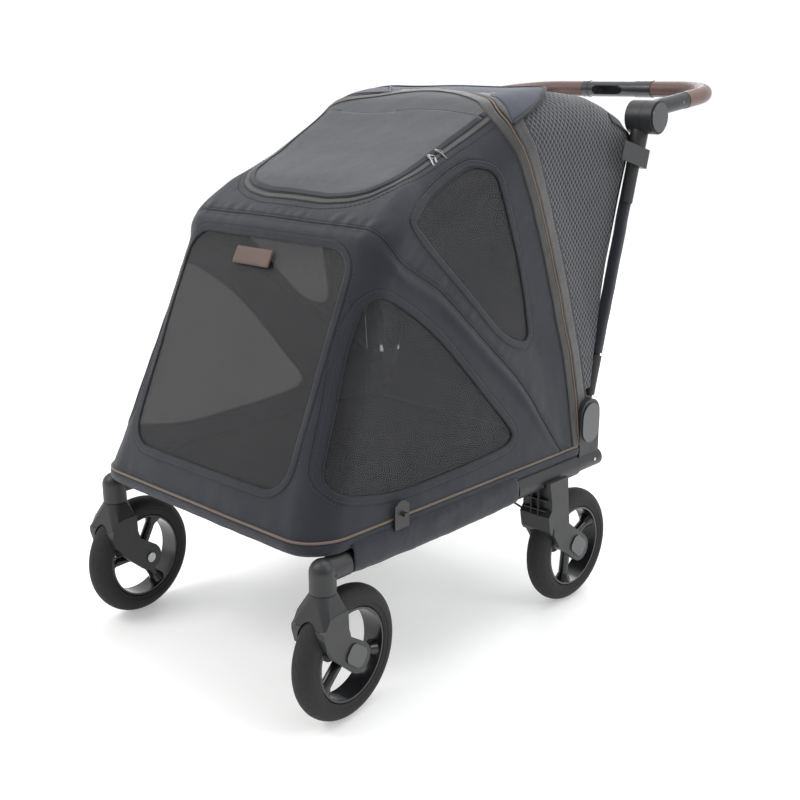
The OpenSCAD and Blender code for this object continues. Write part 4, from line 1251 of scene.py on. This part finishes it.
# small ring on the roof
ring_c = np.array([[-0.104, 0.50, 0.80]])
ring_c[0, 2] = shoot(ring_c, np.array([[0, 0, 1.0]]))[0, 2] + 0.006
t = np.linspace(0, 2 * math.pi, 33)[:-1]
loop = ring_c + 0.0045 * np.stack([np.cos(t), 0 * t, np.sin(t)], 1)
rb = Batch()
rb.add(*sweep(loop, loop - ring_c, circle_profile(0.0008, 8), True))
soft(rb.make("roof_ring", "wirepull"))

# binding wrapped round the handle tubes, which closes the cabin's rear corners
wrap = Batch()
for side in (-1, 1):
    zs = np.linspace(0.466, 0.752, 80)
    ys = 0.6745 + (zs - 0.4166) * 0.2642
    line = np.stack([np.full(80, side * 0.2588), ys, zs], 1)
    wob = np.array([noise.noise((side * 2.0, 0.5, float(z) * 40)) for z in zs]) * 0.0008
    line[:, 0] += wob
    wrap.add(*sweep(line, np.tile(np.array([0, 1.0, 0]), (80, 1)), [(-0.0098, -0.006), (-0.0098, 0.006),
        (-0.006, 0.0102), (0.006, 0.0102), (0.0098, 0.006), (0.0098, -0.006), (0.006, -0.0102),
        (-0.006, -0.0102)]))
wrap_o = wrap.make("tube_bindings", "edge")
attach(wrap_o, "handle")

# ------------------------------------------------------------------ tyres with their tread
def tyre(name, node, body, joint):
    """a tyre as big as the CAD tyre it replaces, with grooves and sipes cut in"""
    j = next(q for q in frame["record"]["behaviour"]["joints"] if q["name"] == joint)
    centre, axis = np.array(j["pos_m"], float), np.array(j["axis"], float)
    axis /= np.linalg.norm(axis)
    up = np.array([0, 0, 1.0])
    fwd = np.cross(up, axis)
    me = nodes[node].data
    co = np.zeros(len(me.vertices) * 3)
    me.vertices.foreach_get("co", co)
    d = co.reshape(-1, 3) - centre
    ax = d @ axis
    r = np.linalg.norm(d - ax[:, None] * axis, axis=1)
    mid, half_w, r_out, r_in = (ax.max() + ax.min()) / 2, (ax.max() - ax.min()) / 2, r.max(), r.min()
    n = 540
    prof = []
    for t in np.linspace(-1, 1, 61):
        a = t * math.radians(132)
        s = math.sin(a) if abs(a) < math.pi / 2 else math.copysign(1.0, a)
        cr = half_w
        rr = (r_out - cr) + cr * math.cos(a) if abs(a) < math.pi / 2 else (r_out - cr) - (abs(a)
            - math.pi / 2) * (r_out - cr - r_in - 0.0005) / math.radians(42)
        xx = s * half_w * (1 if abs(a) < math.pi / 2
            else 1 - 0.16 * (abs(a) - math.pi / 2) / math.radians(42))
        prof.append((xx, rr, t))
    prof.append((half_w * 0.72, r_in, 2.0))
    prof.append((-half_w * 0.72, r_in, 2.0))
    prof = np.array(prof)
    m = len(prof)
    phi = 2 * math.pi * np.arange(n) / n
    R = np.repeat(prof[None, :, 1], n, 0)
    X = np.repeat(prof[None, :, 0], n, 0)
    Tt = np.repeat(prof[None, :, 2], n, 0)
    PH = phi[:, None]
    # two rings cut into each sidewall
    for ringr in (r_in + 0.0065, r_in + 0.0125):
        cut = np.exp(-((R - ringr) / 0.0009) ** 2) * (np.abs(Tt) > 0.6) * (np.abs(Tt) < 1.5)
        X = X - np.sign(X) * 0.0011 * cut
    # shoulder line, centre band and sipes on the crown
    arc = np.abs(Tt) * 132
    shoulder = np.exp(-((arc - 52) / 1.6) ** 2)
    centre_band = np.exp(-((arc - 17) / 1.5) ** 2)
    wave = 4.2 * np.sin(PH * 36)
    zig = np.exp(-(((Tt * 132) - wave) / 2.0) ** 2) * (np.cos(PH * 36) > -0.35)
    sipe = (np.abs(np.sin(PH * 18 + np.sign(Tt) * 0.6 + Tt * 2.0)) < 0.11) * (arc > 21) * (arc < 47)
    hook = (np.abs(np.sin(PH * 18 + 0.9 - np.sign(Tt) * 0.25)) < 0.16) * (arc > 43) * (arc < 47)
    R = R - 0.0009 * np.clip(shoulder * 0.8 + centre_band * 0.7 + zig + sipe + hook, 0, 1) * (arc < 60)
    P = centre + (X + mid)[..., None] * axis + R[..., None] * (np.cos(PH)[..., None] * fwd + np.sin(PH)[...,
        None] * up)
    P = P.reshape(-1, 3) - np.array([OX, OY, 0])
    tris = grid_tris(n, m, True, True)
    o = new_object(name, P, tris, "tyre")
    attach(o, body)
    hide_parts(node)


for end in ("front", "rear"):
    for side in ("right", "left"):
        tyre(f"tyre_tread_{end}_{side}", f"tyre_{end}_{side}", f"wheel_{end}_{side}",
            f"wheel_spin_{end}_{side}")

# ------------------------------------------------------------------ leather seams on the grips
j = next(q for q in frame["record"]["behaviour"]["joints"] if q["name"] == "handlebar_tilt")
bar_o = np.array(j["pos_m"], float) - np.array([OX, OY, 0])
rise = math.radians(6.8)
bd, bu = np.array([0, math.cos(rise), math.sin(rise)]), np.array([0, -math.sin(rise), math.cos(rise)])
BAR_X, BEND, LEN, GRIP_R, SOCKET, HOUSING = 0.252, 0.108, 0.322, 0.0168, 0.1655, 0.0885
seam = Batch()
for side in (-1, 1):
    pts = [(BAR_X, y) for y in np.linspace(SOCKET, LEN - BEND, 12)]
    pts += [(BAR_X - BEND + BEND * math.cos(a), LEN - BEND + BEND * math.sin(a))
        for a in np.linspace(0, math.pi / 2, 30)[1:]]
    pts += [(x, LEN) for x in np.linspace(BAR_X - BEND, HOUSING, 16)[1:]]
    pts = np.array(pts)
    tan = tangents(np.c_[pts, np.zeros(len(pts))], False)[:, :2]
    inward = np.stack([-tan[:, 1], tan[:, 0]], 1)
    line = bar_o + (side * pts[:, :1]) * np.array([1.0, 0, 0]) + pts[:, 1:2] * bd + 0.008 * bu
    inn = (side * inward[:, :1]) * np.array([1.0, 0, 0]) + inward[:, 1:2] * bd
    nrm = inn * 0.80 - 0.60 * bu
    p = resample(np.hstack([line + nrm * (GRIP_R + 0.0001), nrm]), 0.0036)
    t = tangents(p[:, :3], False)
    n_ = p[:, 3:] / np.linalg.norm(p[:, 3:], axis=1, keepdims=True)
    across = np.cross(t, n_)
    for sgn in (-1, 1):
        d = across * sgn + t * 0.5
        d /= np.linalg.norm(d, axis=1, keepdims=True)
        stitch_set(seam, p[:, :3] - n_ * 0.0002, d, n_, 0.0034, 0.0005, 0.0001)
    seam.add(*sweep(p[:, :3], n_, circle_profile(0.0005, 6)))
seam_o = seam.make("grip_stitching", "thread_pale")
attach(seam_o, "handlebar")

# ------------------------------------------------------------------ CAD nodes: materials and edges
LOOK = {
    "frame": ["caster_housings", "fork_right", "fork_left", "rear_leg_right", "rear_leg_left",
        "hinge_brackets", "fold_knuckles",
              "lower_sleeves", "upper_tubes", "tube_knuckles", "bar_knuckles", "storage_hooks", "mesh_clips"],
    "frame_dark": ["floor_board", "brake_pedal"],
    "gloss": ["release_front_right", "release_front_left", "release_rear_right", "release_rear_left",
        "hinge_covers", "knuckle_faces", "release_housing"],
    "piano": ["release_button"],
    "paint": ["side_rails", "cross_tubes", "handle_tubes"],
    "bow": ["front_bow", "middle_bow"],
    "bar": ["handlebar_tube"],
    "steel": ["swivel_pin_right", "swivel_pin_left", "axle_front_right", "axle_front_left", "rear_axles",
        "rail_screws", "fold_pins"],
    "brass": ["swivel_bushes"],
    "wheel": [n for n in nodes if n.startswith("rim_")],
    "tyre": [n for n in nodes if n.startswith("tyre_")],
    "navy": ["front_panel", "side_panel_right", "side_panel_left", "roof_panel"],
    # painted shade: the darker navy copy goes on the parts under the rim
    "skirt": ["rail_covers", "base_skirt"],
    "net": ["front_mesh", "side_meshes"],
    "roofnet": ["roof_mesh"],
    "rearnet": ["rear_cover"],
    "felt": ["floor_mat"],
    "leather": ["grips"],
    "patch": ["leather_patch"],
    "cable": ["brake_cables"],
    "zipmetal": ["zip_pulls"],
}
for key, names in LOOK.items():
    for n in names:
        o = nodes[n]
        assign(o, key)
        if not o.data.uv_layers:
            box_uv(o.data)
        if key in ("frame", "gloss", "wheel", "frame_dark", "piano", "steel"):
            b = o.modifiers.new("edges", "BEVEL")
            b.width = 0.0009 if key != "wheel" else 0.0007
            b.segments = 2
            b.limit_method = "ANGLE"
            b.angle_limit = math.radians(38)
            b.harden_normals = True

# ------------------------------------------------------------------ floor
bm = bmesh.new()
bmesh.ops.create_grid(bm, x_segments=8, y_segments=8, size=9)
me = bpy.data.meshes.new("studio_floor")
bm.to_mesh(me)
bm.free()
floor = bpy.data.objects.new("studio_floor", me)
scene.collection.objects.link(floor)
floor.data.materials.append(floor_look.m)
